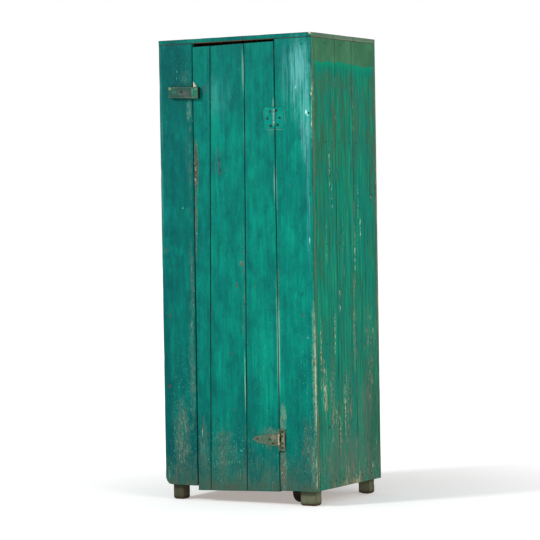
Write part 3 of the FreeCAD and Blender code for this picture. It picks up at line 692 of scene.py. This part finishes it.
def make_weathered_paint():
    """Post feet: paint rubbed to grey below the boards, brown on the arrises, and bare pine higher up."""
    material, t = new_material("weathered_paint")
    place = t.place()
    wood = t.group(LONG_GRAIN, {"Vector": place})
    edge = t.attribute("edge")
    height = t.split(place)[2]
    colour = t.blend(wood["Blotch"], sRGB(126, 128, 104), sRGB(100, 104, 86))
    colour = t.blend(t.times(wood["Streak"], 0.35), colour, sRGB(72, 100, 80))
    colour = t.blend(t.times(wood["Fibre"], 0.4), colour, sRGB(84, 76, 58))
    bare = t.blend(wood["Brush"], sRGB(140, 128, 102), sRGB(92, 70, 46))
    rub = t.plus(0.3, t.times(edge, 0.5))
    colour, flake = wear_paint(t, place, rub, colour, bare, sRGB(166, 162, 138))
    # the tone darkens the feet that stand in the cabinet's shadow: painted shade
    colour = t.blend(t.attribute("tone"), colour, sRGB(44, 40, 32))
    colour = t.blend(t.times(t.span(edge, 0.45, 1.0), 0.7), colour, sRGB(86, 56, 30))
    colour = t.blend(t.times(t.span(height, 0.02, 0.0), 0.6), colour, sRGB(52, 40, 28))
    # darker just below the boards' lower edge: painted shade under the skirt
    colour = t.blend(t.times(t.span(height, 0.03, 0.055), 0.35), colour, sRGB(46, 44, 34))
    colour = t.blend(t.times(t.span(height, 0.056, 0.064), 0.85), colour, sRGB(128, 96, 62))
    relief = t.plus(t.times(wood["Fibre"], 0.6), t.times(flake, -0.5))
    return finish_surface(material, t, colour, t.plus(0.66, t.times(flake, 0.2)), relief, 0.7)


def make_button_paint():
    """The turn button: handled for years, its green rubbed to grey, with cream chips at the left end."""
    material, t = new_material("button_paint")
    place = t.place()
    turned = t.stretch(place, (1, 1, 1), turn=GRAIN_TURN["x"])
    wood = t.group(LONG_GRAIN, {"Vector": turned})
    edge = t.attribute("edge")
    colour = t.blend(wood["Streak"], sRGB(36, 84, 74), sRGB(70, 82, 76))
    colour = t.blend(t.times(wood["Brush"], 0.4), colour, sRGB(34, 92, 80))
    right_end = front_patches(t, place, (-150, 1458, 19, 26, 0.15, 0.9))
    colour = t.blend(right_end, colour, sRGB(40, 116, 92))
    fresh_teal = front_patches(t, place, (-242, 1464, 14, 12, 0.4, 0.5))
    colour = t.blend(fresh_teal, colour, sRGB(52, 118, 100))
    plum = front_patches(t, place, (-188, 1452, 24, 12, 0.4, 0.6))
    colour = t.blend(plum, colour, sRGB(92, 86, 88))
    scrape = front_patches(t, place, (-164, 1464, 2.5, 18, 0.25, 0.6), (-148, 1470, 9, 3, 0.3, 0.7))
    colour = t.blend(scrape, colour, sRGB(110, 160, 152))
    rubbed = front_patches(
        t, place,
        (-259, 1476, 10, 9, 0.2, 1.0), (-236, 1479, 28, 4, 0.3, 0.8), (-205, 1458, 40, 14, 0.3, 0.65),
        (-195, 1441, 55, 5, 0.3, 0.8),
    )
    bare = t.blend(wood["Blotch"], sRGB(104, 108, 98), sRGB(84, 82, 72))
    bare = t.blend(front_patches(t, place, (-256, 1475, 16, 11, 0.5, 0.9)), bare, sRGB(150, 162, 122))
    rub = t.reckon("MINIMUM", t.either(rubbed, t.times(edge, 0.8)), 1.0)
    colour, flake = wear_paint(t, turned, rub, colour, bare, sRGB(140, 150, 134))
    colour = t.blend(t.times(wood["Fibre"], 0.3), colour, DIRT)
    relief = t.plus(t.times(wood["Fibre"], 0.5), t.times(flake, -0.5))
    return finish_surface(material, t, colour, t.plus(0.5, t.times(flake, 0.25)), relief, 0.6)


def make_iron(name, paint, second, metal, rust, cover, shade=(), pale=()):
    """A finish of old painted iron; rows of shade and of pale spots lie on it as on the front."""
    material, t = new_material(name)
    place = t.place()
    inputs = {
        "Vector": place, "Edge": t.attribute("edge"), "Cover": cover,
        "Paint": paint, "Second Paint": second, "Metal": metal, "Rust": rust,
    }
    iron = t.group(OLD_IRON, inputs)
    fine, kept = iron["Fine"], iron["Kept"]
    colour = iron["Colour"]
    if shade:
        colour = t.blend(front_patches(t, place, *shade), colour, IRON_SHADE)
    if pale:
        rubbed = t.times(front_patches(t, place, *pale), t.span(fine, 0.4, 0.56))
        colour = t.blend(rubbed, colour, IRON_PALE)
    roughness = t.plus(0.5, t.times(fine, 0.3), t.times(kept, -0.05))
    relief = t.plus(t.times(fine, 0.5), t.times(kept, 0.6))
    metallic = t.times(iron["Bright"], 0.5)
    return finish_surface(material, t, colour, roughness, relief, 0.5, 0.0004, metallic=metallic)


TEAL_PAINT = make_teal_paint()
SIDE_PAINT = make_green_paint("green_side_paint", band=1.0)
TOP_PAINT = make_green_paint("green_top_paint", along="x")
BARE_UPRIGHT = make_wood("bare_pine_upright", sRGB(168, 132, 90), sRGB(112, 76, 44))
BARE_ACROSS = make_wood("bare_pine_across", sRGB(172, 138, 96), sRGB(118, 82, 50), along="x")
BARE_DEEP = make_wood("bare_pine_front_to_back", sRGB(164, 128, 86), sRGB(108, 74, 44), along="y")
BACK_WOOD = make_wood("weathered_back_pine", sRGB(132, 118, 98), sRGB(84, 70, 54), dusty=0.5)
END_GRAIN = make_wood("weathered_end_grain", sRGB(114, 142, 122), sRGB(62, 92, 76), along="y", dusty=0.2)
STILE_EDGE = make_green_paint("edge_paint", browned=0.55)
# near-black pine that stands for shade: the door's seam faces, the rail behind the gap over the door, and the
# foot bracket under the cabinet
SHADOW_PINE = make_wood("near_black_shadow_pine", sRGB(46, 36, 28), sRGB(24, 18, 14), along="x", dusty=0.1)
# near-black wood for the button's right end and underside: painted shade
SHADED_BUTTON_END = make_wood("shaded_button_end", sRGB(26, 40, 34), sRGB(10, 18, 15), along="x", dusty=0.05)
FRESH_WOOD = make_wood("fresh_split_pine", sRGB(222, 212, 200), sRGB(178, 160, 144), dusty=0.0)
POST_PAINT = make_weathered_paint()
BUTTON_PAINT = make_button_paint()
PAINTED_IRON = make_iron(
    "painted_over_iron", sRGB(0, 134, 120), sRGB(0, 120, 108), sRGB(84, 140, 126), sRGB(50, 66, 58), 0.7,
    shade=[
        (171, 1383, 7, 7, 0.1, 0.8), (185, 1357, 6, 6, 0.1, 0.6), (176, 1332, 7, 7, 0.1, 0.8),
        (147, 1380, 6, 6, 0.1, 0.7), (135, 1356, 6, 6, 0.1, 0.7), (148, 1330, 7, 7, 0.1, 0.8),
    ],
)
RUBBED_IRON = make_iron(
    "rubbed_iron", sRGB(22, 112, 96), sRGB(76, 108, 92), sRGB(122, 128, 110), sRGB(74, 56, 46), 0.6,
    shade=[
        (169, 233, 2.4, 24, 0.05, 1.0), (186, 230, 2.5, 40, 0.1, 0.7), (174, 259, 6, 6, 0.1, 0.6),
        (176, 218, 6, 6, 0.1, 0.6), (176, 202, 6, 6, 0.1, 0.6), (124, 231, 6, 6, 0.1, 0.7),
    ],
    pale=[(179, 230, 7, 36, 0.2, 0.7), (140, 238, 16, 12, 0.4, 0.5)],
)
PALE_IRON = make_iron(
    "chipped_knuckle", sRGB(0, 112, 102), sRGB(70, 146, 134), sRGB(176, 200, 190), sRGB(60, 76, 70), 0.61
)
# cream of rubbed paint on the tee hinge's knuckle, partly a painted highlight; the dark slit beside it is
# painted shade
KNUCKLE_RUB_AND_HIGHLIGHT = make_iron(
    "rubbed_and_highlit_knuckle", sRGB(206, 196, 156), sRGB(176, 166, 130), sRGB(140, 134, 110), sRGB(82, 68, 52), 0.61,
    shade=[(166.4, 233, 1.3, 13, 0.1, 1.0), (160, 221, 2, 4, 0.2, 0.6)],
)
RUSTY_IRON = make_iron(
    "rusty_iron", sRGB(34, 52, 44), sRGB(44, 40, 34), sRGB(72, 48, 38), sRGB(44, 28, 22), 0.44
)
COVERED_NAIL = make_iron(
    "covered_nail", sRGB(0, 122, 108), sRGB(0, 106, 96), sRGB(30, 90, 80), sRGB(40, 50, 40), 0.6
)
GREEN_NAIL = make_iron(
    "green_nail", sRGB(20, 96, 74), sRGB(14, 76, 60), sRGB(52, 56, 44), sRGB(36, 32, 24), 0.54
)
PAINTED_NAIL = make_iron(
    "painted_nail", sRGB(0, 108, 96), sRGB(0, 92, 82), sRGB(52, 62, 52), sRGB(44, 40, 34), 0.58,
    shade=[(297, 1369, 9, 9, 0.1, 0.8)],
)

# ---------------------------------------------------------------- worn boards


def mesh_of(name, shape, materials):
    """A mesh from a finished bmesh, with its materials."""
    mesh = bpy.data.meshes.new(name)
    shape.to_mesh(mesh)
    shape.free()
    for material in materials:
        mesh.materials.append(material)
    return mesh


def add_object(name, data):
    """An object in the scene for a mesh, lamp or lens."""
    made = bpy.data.objects.new(name, data)
    bpy.context.scene.collection.objects.link(made)
    return made


def merged_copy(node):
    """A CAD node's shape with its loose triangles joined into whole faces."""
    shape = bmesh.new()
    shape.from_mesh(frame["nodes"][node].data)
    bmesh.ops.remove_doubles(shape, verts=shape.verts, dist=0.01 * MM)
    bmesh.ops.dissolve_limit(shape, angle_limit=math.radians(1), verts=shape.verts, edges=shape.edges)
    return shape


def block(low, high):
    """A plain block between two corners, as a start for a worn one."""
    shape = bmesh.new()
    bmesh.ops.create_cube(shape, size=1.0)
    bmesh.ops.scale(shape, vec=high - low, verts=shape.verts)
    bmesh.ops.translate(shape, vec=(low + high) / 2, verts=shape.verts)
    return shape


def cut_across(shape, point, normal):
    """Lays a loop of edges round a shape, where a plane meets it."""
    geometry = shape.verts[:] + shape.edges[:] + shape.faces[:]
    bmesh.ops.bisect_plane(shape, geom=geometry, dist=HAIR, plane_co=point, plane_no=normal)


def to_segment(point, start, end):
    """Distance from a point to a stretch of edge."""
    along = end - start
    share = max(0.0, min(1.0, (point - start).dot(along) / along.length_squared))
    return (point - start - along * share).length


ARRIS_REACH = 11 * MM  # wear from an arris ends this far from it
ARRIS_CUTS = (3 * MM, 9 * MM)  # extra cuts beside each arris, to hold its chips
SOFT_WEAR = 0.35 * MM  # how much a whole face is worn hollow in places
CHIP_HOLD = 0.18  # the wood holds where the noise is weaker than this


def wear_down(shape, ease, loss, step, grain, seed):
    """Turns a sharp-edged board into an old one.

    Its arrises are eased, cuts are laid across it, and each point then sinks a little way into the wood,
    most near the arrises. `loss` is how much the arrises lose at the worst places."""
    shape.normal_update()
    walls = [(face.calc_center_median(), face.normal.copy()) for face in shape.faces]
    arrises = [(edge.verts[0].co.copy(), edge.verts[1].co.copy()) for edge in shape.edges]
    points = [vert.co.copy() for vert in shape.verts]
    bmesh.ops.bevel(
        shape, geom=shape.edges[:], offset=ease, segments=2, profile=0.5, affect="EDGES", material=-1,
        clamp_overlap=True,
    )
    for centre, normal in walls:
        depth = max((centre - point).dot(normal) for point in points)
        for inset in ARRIS_CUTS:
            if depth > inset * 3:
                cut_across(shape, centre - normal * inset, normal)
    axis = "xyz".index(grain)
    for way in range(3):
        gap = step if way == axis else step * 1.3
        low, high = min(p[way] for p in points), max(p[way] for p in points)
        count = int((high - low) / gap)
        normal = Vector([1.0 if k == way else 0.0 for k in range(3)])
        for number in range(1, count):
            cut_across(shape, normal * (low + (high - low) * number / count), normal)
    shape.normal_update()
    edge_layer = shape.verts.layers.float.new("edge")
    worn_layer = shape.verts.layers.float.new("worn")
    squash = Vector([0.25 if k == axis else 1.0 for k in range(3)])
    for vert in shape.verts:
        spot = vert.co * squash
        near = min(to_segment(vert.co, start, end) for start, end in arrises)
        by_edge = max(0.0, 1.0 - near / ARRIS_REACH)
        chip = noise.noise(spot * 90 + Vector((seed, 0, 0)))
        chip += 0.5 * noise.noise(spot * 260 + Vector((0, seed, 0)))
        chip = max(0.0, chip - CHIP_HOLD)
        wave = 0.5 + 0.5 * noise.noise(spot * 14 + Vector((0, 0, seed)))
        sink = loss * chip * by_edge ** 2 + SOFT_WEAR * wave * (0.4 + by_edge)
        vert[edge_layer] = by_edge
        vert[worn_layer] = min(1.0, max(0.0, chip * by_edge ** 2 * 1.6 - 0.25))
        vert.co -= vert.normal * sink
    return shape


def new_piece(name, shape, materials, node, body, smooth=40):
    """Makes the piece's object, hangs it on the empty of the body it rides on, and hides the CAD node it
    stands for.
    """
    mesh = mesh_of(name, shape, materials)
    piece = add_object(name, mesh)
    mesh.shade_smooth()
    mesh.set_sharp_from_angle(angle=math.radians(smooth))
    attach(piece, body)
    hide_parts(node)
    return piece


def body_of(node):
    """The body that a CAD node moves with."""
    bodies = frame["record"]["behaviour"]["bodies"]
    return next(body for body, nodes in bodies.items() if node in nodes)


def worn_piece(node, materials, grain="z", ease=1.0 * MM, loss=2.2 * MM, step=30 * MM, tone=0.0, facings=(),
               start=None):
    """An old board in place of a CAD node.

    Faces that look along the facings take the later materials in turn."""
    shape = wear_down(start or merged_copy(node), ease, loss, step, grain, seed=len(node) * 1.7 + tone * 9)
    tone_layer = shape.verts.layers.float.new("tone")
    for vert in shape.verts:
        vert[tone_layer] = tone
    for number, way in enumerate(facings, start=1):
        for face in shape.faces:
            if face.normal.dot(Vector(way)) > 0.7:
                face.material_index = number
    return new_piece(node + "_worn", shape, materials, node, body_of(node))


def split_off(piece, corners, scar):
    """Splits a flake off a piece. The flake is the hull of the corners, and the scar shows another finish."""
    piece.data.materials.append(scar)
    flake = bmesh.new()
    for corner in corners:
        flake.verts.new(corner)
    bmesh.ops.convex_hull(flake, input=flake.verts[:])
    bmesh.ops.recalc_face_normals(flake, faces=flake.faces[:])
    for face in flake.faces:
        face.material_index = len(piece.data.materials) - 1
    cutter = add_object("flake", mesh_of("flake", flake, piece.data.materials))
    knife = piece.modifiers.new("flake", "BOOLEAN")
    knife.object = cutter
    knife.operation = "DIFFERENCE"
    knife.solver = "EXACT"
    knife.material_mode = "INDEX"
    view = bpy.context.evaluated_depsgraph_get()
    carved = bpy.data.meshes.new_from_object(piece.evaluated_get(view))
    piece.modifiers.clear()
    piece.data = carved
    bpy.data.objects.remove(cutter)


def round_lower_corner(shape):
    """Takes the left stile's lower outer corner off in three flats, as years of kicks have."""
    low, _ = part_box("front_stile_left")
    for turn, reach in ((22, 9), (45, 12), (68, 9)):
        way = Vector((-math.cos(math.radians(turn)), 0.0, -math.sin(math.radians(turn))))
        geometry = shape.verts[:] + shape.edges[:] + shape.faces[:]
        gone = bmesh.ops.bisect_plane(
            shape, geom=geometry, dist=HAIR, plane_co=low - way * reach * MM, plane_no=way,
            clear_outer=True,
        )
        rim = [item for item in gone["geom_cut"] if isinstance(item, bmesh.types.BMEdge)]
        bmesh.ops.contextual_create(shape, geom=rim)
    bmesh.ops.recalc_face_normals(shape, faces=shape.faces[:])


OUT_FRONT, OUT_BACK = (0, -1, 0), (0, 1, 0)
OUT_LEFT, OUT_RIGHT = (-1, 0, 0), (1, 0, 0)
OUT_UP, OUT_DOWN = (0, 0, 1), (0, 0, -1)

STILE_TONES = {"front_stile_left": 0.5, "front_stile_right": 0.0}
DOOR_TONES = {"door_board_latch": 0.16, "door_board_middle": 0.06, "door_board_hinge": 0.02}
# the door boards' faces inside the seams take the near-black pine: painted shade in the gaps
EDGE_PAINTS = {
    "front_stile_left": (STILE_EDGE, TEAL_PAINT), "front_stile_right": (TEAL_PAINT, STILE_EDGE),
    "door_board_latch": (TEAL_PAINT, SHADOW_PINE), "door_board_middle": (SHADOW_PINE, SHADOW_PINE),
    "door_board_hinge": (SHADOW_PINE, TEAL_PAINT),
}
front_pieces = {}
for node, tone in {**STILE_TONES, **DOOR_TONES}.items():
    left_edge, right_edge = EDGE_PAINTS[node]
    start = merged_copy(node)
    if node == "front_stile_left":
        round_lower_corner(start)
    front_pieces[node] = worn_piece(
        node, [TEAL_PAINT, BARE_UPRIGHT, left_edge, right_edge], tone=tone, start=start,
        facings=[OUT_BACK, OUT_LEFT, OUT_RIGHT],
    )

SIDE_TONES = (0.3, 0.05, 0.1)
for side, inward in (("right", OUT_LEFT), ("left", OUT_RIGHT)):
    for number, tone in enumerate(SIDE_TONES, start=1):
        worn_piece(f"side_{side}_board_{number}", [SIDE_PAINT, BARE_UPRIGHT], tone=tone, facings=[inward])
for number in range(1, 5):
    worn_piece(
        f"back_board_{number}", [BACK_WOOD, STILE_EDGE, STILE_EDGE], loss=1.6 * MM,
        facings=[OUT_LEFT, OUT_RIGHT],
    )
for number in range(1, 4):
    worn_piece(
        f"top_board_{number}", [TOP_PAINT, BARE_ACROSS, TEAL_PAINT, END_GRAIN, END_GRAIN], grain="x",
        tone=0.25, ease=2 * MM, loss=4.5 * MM, facings=[OUT_DOWN, OUT_FRONT, OUT_LEFT, OUT_RIGHT],
    )
# feet in the cabinet's shadow get a higher tone, which darkens them: painted shade
POST_SHADE_TONES = {"front_left": 0.55, "front_right": 0.0, "rear_left": 0.4, "rear_right": 0.1}
for corner, tone in POST_SHADE_TONES.items():
    worn_piece(f"post_{corner}", [POST_PAINT], ease=3 * MM, loss=6 * MM, step=12 * MM, tone=tone)
# the foot bracket is near-black: painted shade under the cabinet
worn_piece("foot_bracket", [SHADOW_PINE], ease=1.5 * MM, step=12 * MM)


def crooked_button():
    """The button's block: it tapers, and its right end hangs lower than its left one."""
    low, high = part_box("turn_button")
    shape = block(low, high)
    middle = (low + high) / 2
    for vert in shape.verts:
        if vert.co.x < middle.x and vert.co.z < middle.z:
            vert.co.z += 7.2 * MM
        elif vert.co.x > middle.x and vert.co.z > middle.z:
            vert.co.z -= 4 * MM
    return shape


# the button's right end and underside take near-black wood: painted shade
worn_piece(
    "turn_button", [BUTTON_PAINT, SHADED_BUTTON_END, SHADED_BUTTON_END], grain="x", ease=1.6 * MM, loss=2.5 * MM,
    step=7 * MM, start=crooked_button(), facings=[OUT_RIGHT, OUT_DOWN],
)

# ---------------------------------------------------------------- bare boards inside

for node in frame["nodes"]:
    if node.startswith(("shelf_", "floor_")) and "board" in node:
        worn_piece(node, [BARE_ACROSS], grain="x", step=60 * MM)
    elif node.startswith("top_rail_front"):
        # the front top rail is near-black: painted shade behind the gap over the door
        worn_piece(node, [SHADOW_PINE], grain="x", step=40 * MM)
    elif node.startswith("door_batten") or node.endswith(("rail_front", "rail_rear")):
        worn_piece(node, [BARE_ACROSS], grain="x", step=40 * MM)
    elif node.endswith(("rail_left", "rail_right", "_cleats")):
        worn_piece(node, [BARE_DEEP], grain="y", step=40 * MM)

# ---------------------------------------------------------------- hinges


KNUCKLE_HALF = 4.6 * MM
LEAF_THICK = 2.2 * MM


def softened_iron(node, material, knuckle, knuckle_span):
    """A hinge piece with its CAD shape and broken edges; its knuckle takes the second finish over a stretch
    of height.
    """
    shape = merged_copy(node)
    edge_layer = shape.verts.layers.float.new("edge")
    for vert in shape.verts:
        vert[edge_layer] = 1.0
    low, high = (height * MM for height in knuckle_span)
    for level in (low, high):
        cut_across(shape, UP * level, UP)
    for face in shape.faces:
        middle = face.calc_center_median()
        by_pin = abs(middle.x - HINGE_X) < KNUCKLE_HALF and middle.y < FRONT_Y - LEAF_THICK
        if by_pin and low < middle.z < high:
            face.material_index = 1
    piece = new_piece(node + "_iron", shape, [material, knuckle], node, body_of(node))
    soften = piece.modifiers.new("soften", "BEVEL")
    soften.width = 0.35 * MM
    soften.segments = 2
    soften.limit_method = "ANGLE"
    soften.angle_limit = math.radians(35)
    return piece


for node in ("butt_hinge_stile_leaf", "butt_hinge_door_leaf", "butt_hinge_pin"):
    softened_iron(node, PAINTED_IRON, PALE_IRON, (1330, 1388))
# the tee hinge's knuckle band is rubbed cream and partly a painted highlight
for node in ("tee_hinge_stile_leaf", "tee_hinge_strap", "tee_hinge_pin"):
    softened_iron(node, RUBBED_IRON, KNUCKLE_RUB_AND_HIGHLIGHT, (214, 251))

# ---------------------------------------------------------------- nails and screws


def solids_of(node):
    """The lowest and highest corners of each separate solid of a CAD node."""
    shape = merged_copy(node)
    waiting = set(shape.verts)
    boxes = []
    while waiting:
        island, queue = [], [waiting.pop()]
        while queue:
            vert = queue.pop()
            island.append(vert.co.copy())
            for edge in vert.link_edges:
                other = edge.other_vert(vert)
                if other in waiting:
                    waiting.remove(other)
                    queue.append(other)
        low = Vector([min(point[k] for point in island) for k in range(3)])
        high = Vector([max(point[k] for point in island) for k in range(3)])
        boxes.append((low, high))
    shape.free()
    return sorted(boxes, key=lambda pair: tuple(pair[0]))


def measure(low, high, outwards):
    """Which way a fastener points, along which axis, and the radius of its head."""
    way = Vector(outwards)
    axis = max(range(3), key=lambda k: abs(way[k]))
    radius = max(high[k] - low[k] for k in range(3) if k != axis) / 2
    return way, axis, radius


def head_on(shape, low, high, outwards, proud, slotted, turn):
    """One domed head on the outer end of a fastener's box, as proud of the wood as is asked."""
    way, axis, radius = measure(low, high, outwards)
    centre = (low + high) / 2
    centre[axis] = (high if way[axis] > 0 else low)[axis] - way[axis] * proud
    dome = bmesh.ops.create_uvsphere(shape, u_segments=14, v_segments=8, radius=1.0)["verts"]
    upper = [vert for vert in dome if vert.co.z > 0.7]
    if slotted:
        for vert in upper:
            if abs(vert.co.y) < 0.3:
                vert.co.z -= 0.45
    else:
        for vert in upper:
            vert.co.z -= 0.25 * noise.noise(vert.co * 2 + centre * 50) + 0.1
    facing = way.to_track_quat("Z", "Y").to_matrix().to_4x4()
    size = Matrix.Diagonal((radius, radius, proud, 1.0))
    place = Matrix.Translation(centre) @ facing @ Matrix.Rotation(turn, 4, "Z") @ size
    bmesh.ops.transform(shape, matrix=place, verts=dome)


def shank_on(shape, low, high, outwards, share):
    """The shank behind a head, as thick as the share of the head's width."""
    way, axis, radius = measure(low, high, outwards)
    rod = bmesh.ops.create_cone(
        shape, cap_ends=True, segments=10, radius1=radius * share, radius2=radius * share * 0.6, depth=1.0
    )["verts"]
    facing = (-way).to_track_quat("Z", "Y").to_matrix().to_4x4()
    length = (high[axis] - low[axis]) * 0.96
    centre = (low + high) / 2
    place = Matrix.Translation(centre) @ facing @ Matrix.Diagonal((1.0, 1.0, length, 1.0))
    bmesh.ops.transform(shape, matrix=place, verts=rod)


def fasteners(node, outwards, material, proud, share, slotted=False):
    """A group of nails or screws in place of a CAD node, each with its own head and shank."""
    shape = bmesh.new()
    for number, (low, high) in enumerate(solids_of(node)):
        turn = 2.4 * number + 0.7
        head_on(shape, low, high, outwards, proud, slotted, turn)
        shank_on(shape, low, high, outwards, share)
    return new_piece(node + "_iron", shape, [material], node, body_of(node), smooth=50)


NAIL_PROUD, NAIL_SHARE = 0.8 * MM, 0.45
SCREW_PROUD, SCREW_SHARE = 0.9 * MM, 0.55
fasteners("front_nails", OUT_FRONT, PAINTED_NAIL, NAIL_PROUD, NAIL_SHARE)
fasteners("door_nails", OUT_FRONT, COVERED_NAIL, NAIL_PROUD, NAIL_SHARE)
fasteners("side_nails_right", OUT_RIGHT, GREEN_NAIL, NAIL_PROUD, NAIL_SHARE)
fasteners("side_nails_left", OUT_LEFT, GREEN_NAIL, NAIL_PROUD, NAIL_SHARE)
fasteners("back_nails", OUT_BACK, RUSTY_IRON, NAIL_PROUD, NAIL_SHARE)
fasteners("top_nails", OUT_UP, RUSTY_IRON, NAIL_PROUD, NAIL_SHARE)
for node in ("stile_hinge_screws", "door_hinge_screws"):
    fasteners(node, OUT_FRONT, RUSTY_IRON, SCREW_PROUD, SCREW_SHARE, slotted=True)
fasteners("turn_button_nail", OUT_FRONT, RUSTY_IRON, NAIL_PROUD * 2, NAIL_SHARE)

# ---------------------------------------------------------------- flakes split off the edges


def latch_edge_at(height):
    """Where the door's leaning latch edge is at a height."""
    low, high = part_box("door_board_latch")
    top_x = low.x + 4.0 * MM
    return low.x + (top_x - low.x) * (height - low.z) / (high.z - low.z)


# each row: height, how far into the board at the face, how far at the bottom of the scar
LATCH_FLAKE = ((1504, -3, -3), (1481, 17, 13), (1472, 21, 16), (1450, 8, 5), (1437, -3, -3))
SCAR_DEPTH = 2.6 * MM
corners = []
for height, at_face, at_bottom in LATCH_FLAKE:
    edge_x = latch_edge_at(height * MM)
    corners.append((edge_x + at_face * MM, FRONT_Y - 2 * MM, height * MM))
    corners.append((edge_x + at_bottom * MM, FRONT_Y + SCAR_DEPTH, height * MM))
split_off(front_pieces["door_board_latch"], corners, FRESH_WOOD)

# ---------------------------------------------------------------- floor, light and camera


def make_floor():
    """A pale floor round the cabinet that brightens to plain white farther out."""
    shape = bmesh.new()
    bmesh.ops.create_circle(shape, cap_ends=True, segments=96, radius=40.0)
    material, t = new_material("pale_floor")
    shader = material.node_tree.nodes["Principled BSDF"]
    shader.inputs["Base Color"].default_value = (0.7, 0.7, 0.7, 1.0)
    shader.inputs["Roughness"].default_value = 0.9
    shader.inputs["Specular IOR Level"].default_value = 0.1
    reach = t.node("ShaderNodeVectorMath", {0: t.place()}, operation="LENGTH").outputs["Value"]
    shader.inputs["Emission Color"].default_value = (1.0, 1.0, 1.0, 1.0)
    t.feed(shader.inputs["Emission Strength"], t.span(reach, 0.3, 2.2, 0.36, 0.75))
    floor = add_object("floor", mesh_of("floor", shape, [material]))


def make_light(name, place, target, size, power):
    """A soft round lamp that looks at the target."""
    lamp = bpy.data.lights.new(name, "AREA")
    lamp.shape, lamp.size, lamp.energy = "DISK", size, power
    light = add_object(name, lamp)
    light.location = place
    light.rotation_euler = (Vector(target) - Vector(place)).to_track_quat("-Z", "Y").to_euler()


def make_world():
    """A plain pale surround; what the lens sees of it is white."""
    world = bpy.data.worlds.new("pale_surround")
    bpy.context.scene.world = world
    world.use_nodes = True
    t = Tree(world.node_tree)
    backdrop = world.node_tree.nodes["Background"]
    path = t.node("ShaderNodeLightPath").outputs
    t.feed(backdrop.inputs["Color"], (1.0, 1.0, 1.0, 1.0))
    strength = t.plus(0.48, t.times(path["Is Glossy Ray"], -0.3), t.times(path["Is Camera Ray"], 0.52))
    t.feed(backdrop.inputs["Strength"], strength)


def make_camera():
    """The lens stands low and far off, to the right of the front, and leans as the old cabinet does."""
    yaw, pitch, roll = math.radians(30.25), math.radians(-1.31), math.radians(-0.92)
    lens = bpy.data.cameras.new("camera")
    lens.sensor_width, lens.lens = 36.0, 156.5
    lens.clip_end = 100.0
    camera = add_object("camera", lens)
    ahead = Vector((-math.sin(yaw) * math.cos(pitch), math.cos(yaw) * math.cos(pitch), math.sin(pitch)))
    right = Vector((math.cos(yaw), math.sin(yaw), 0.0))
    above = right.cross(ahead)
    leaned_right = right * math.cos(roll) + above * math.sin(roll)
    leaned_above = above * math.cos(roll) - right * math.sin(roll)
    turn = Matrix((leaned_right, leaned_above, -ahead)).transposed()
    place = Vector((4.278, FRONT_Y - 7.104, 1.014))
    camera.matrix_world = Matrix.Translation(place) @ turn.to_4x4()
    bpy.context.scene.camera = camera


HALFWAY_UP = (0, 0, 0.8)
make_floor()
make_light("key", place=(-2.9, -4.6, 4.0), target=HALFWAY_UP, size=1.1, power=250)
make_light("fill", place=(4.8, -2.0, 2.2), target=HALFWAY_UP, size=3.0, power=125)
make_world()
make_camera()
bpy.context.scene.view_settings.view_transform = "Standard"
bpy.context.scene.view_settings.gamma = 0.87
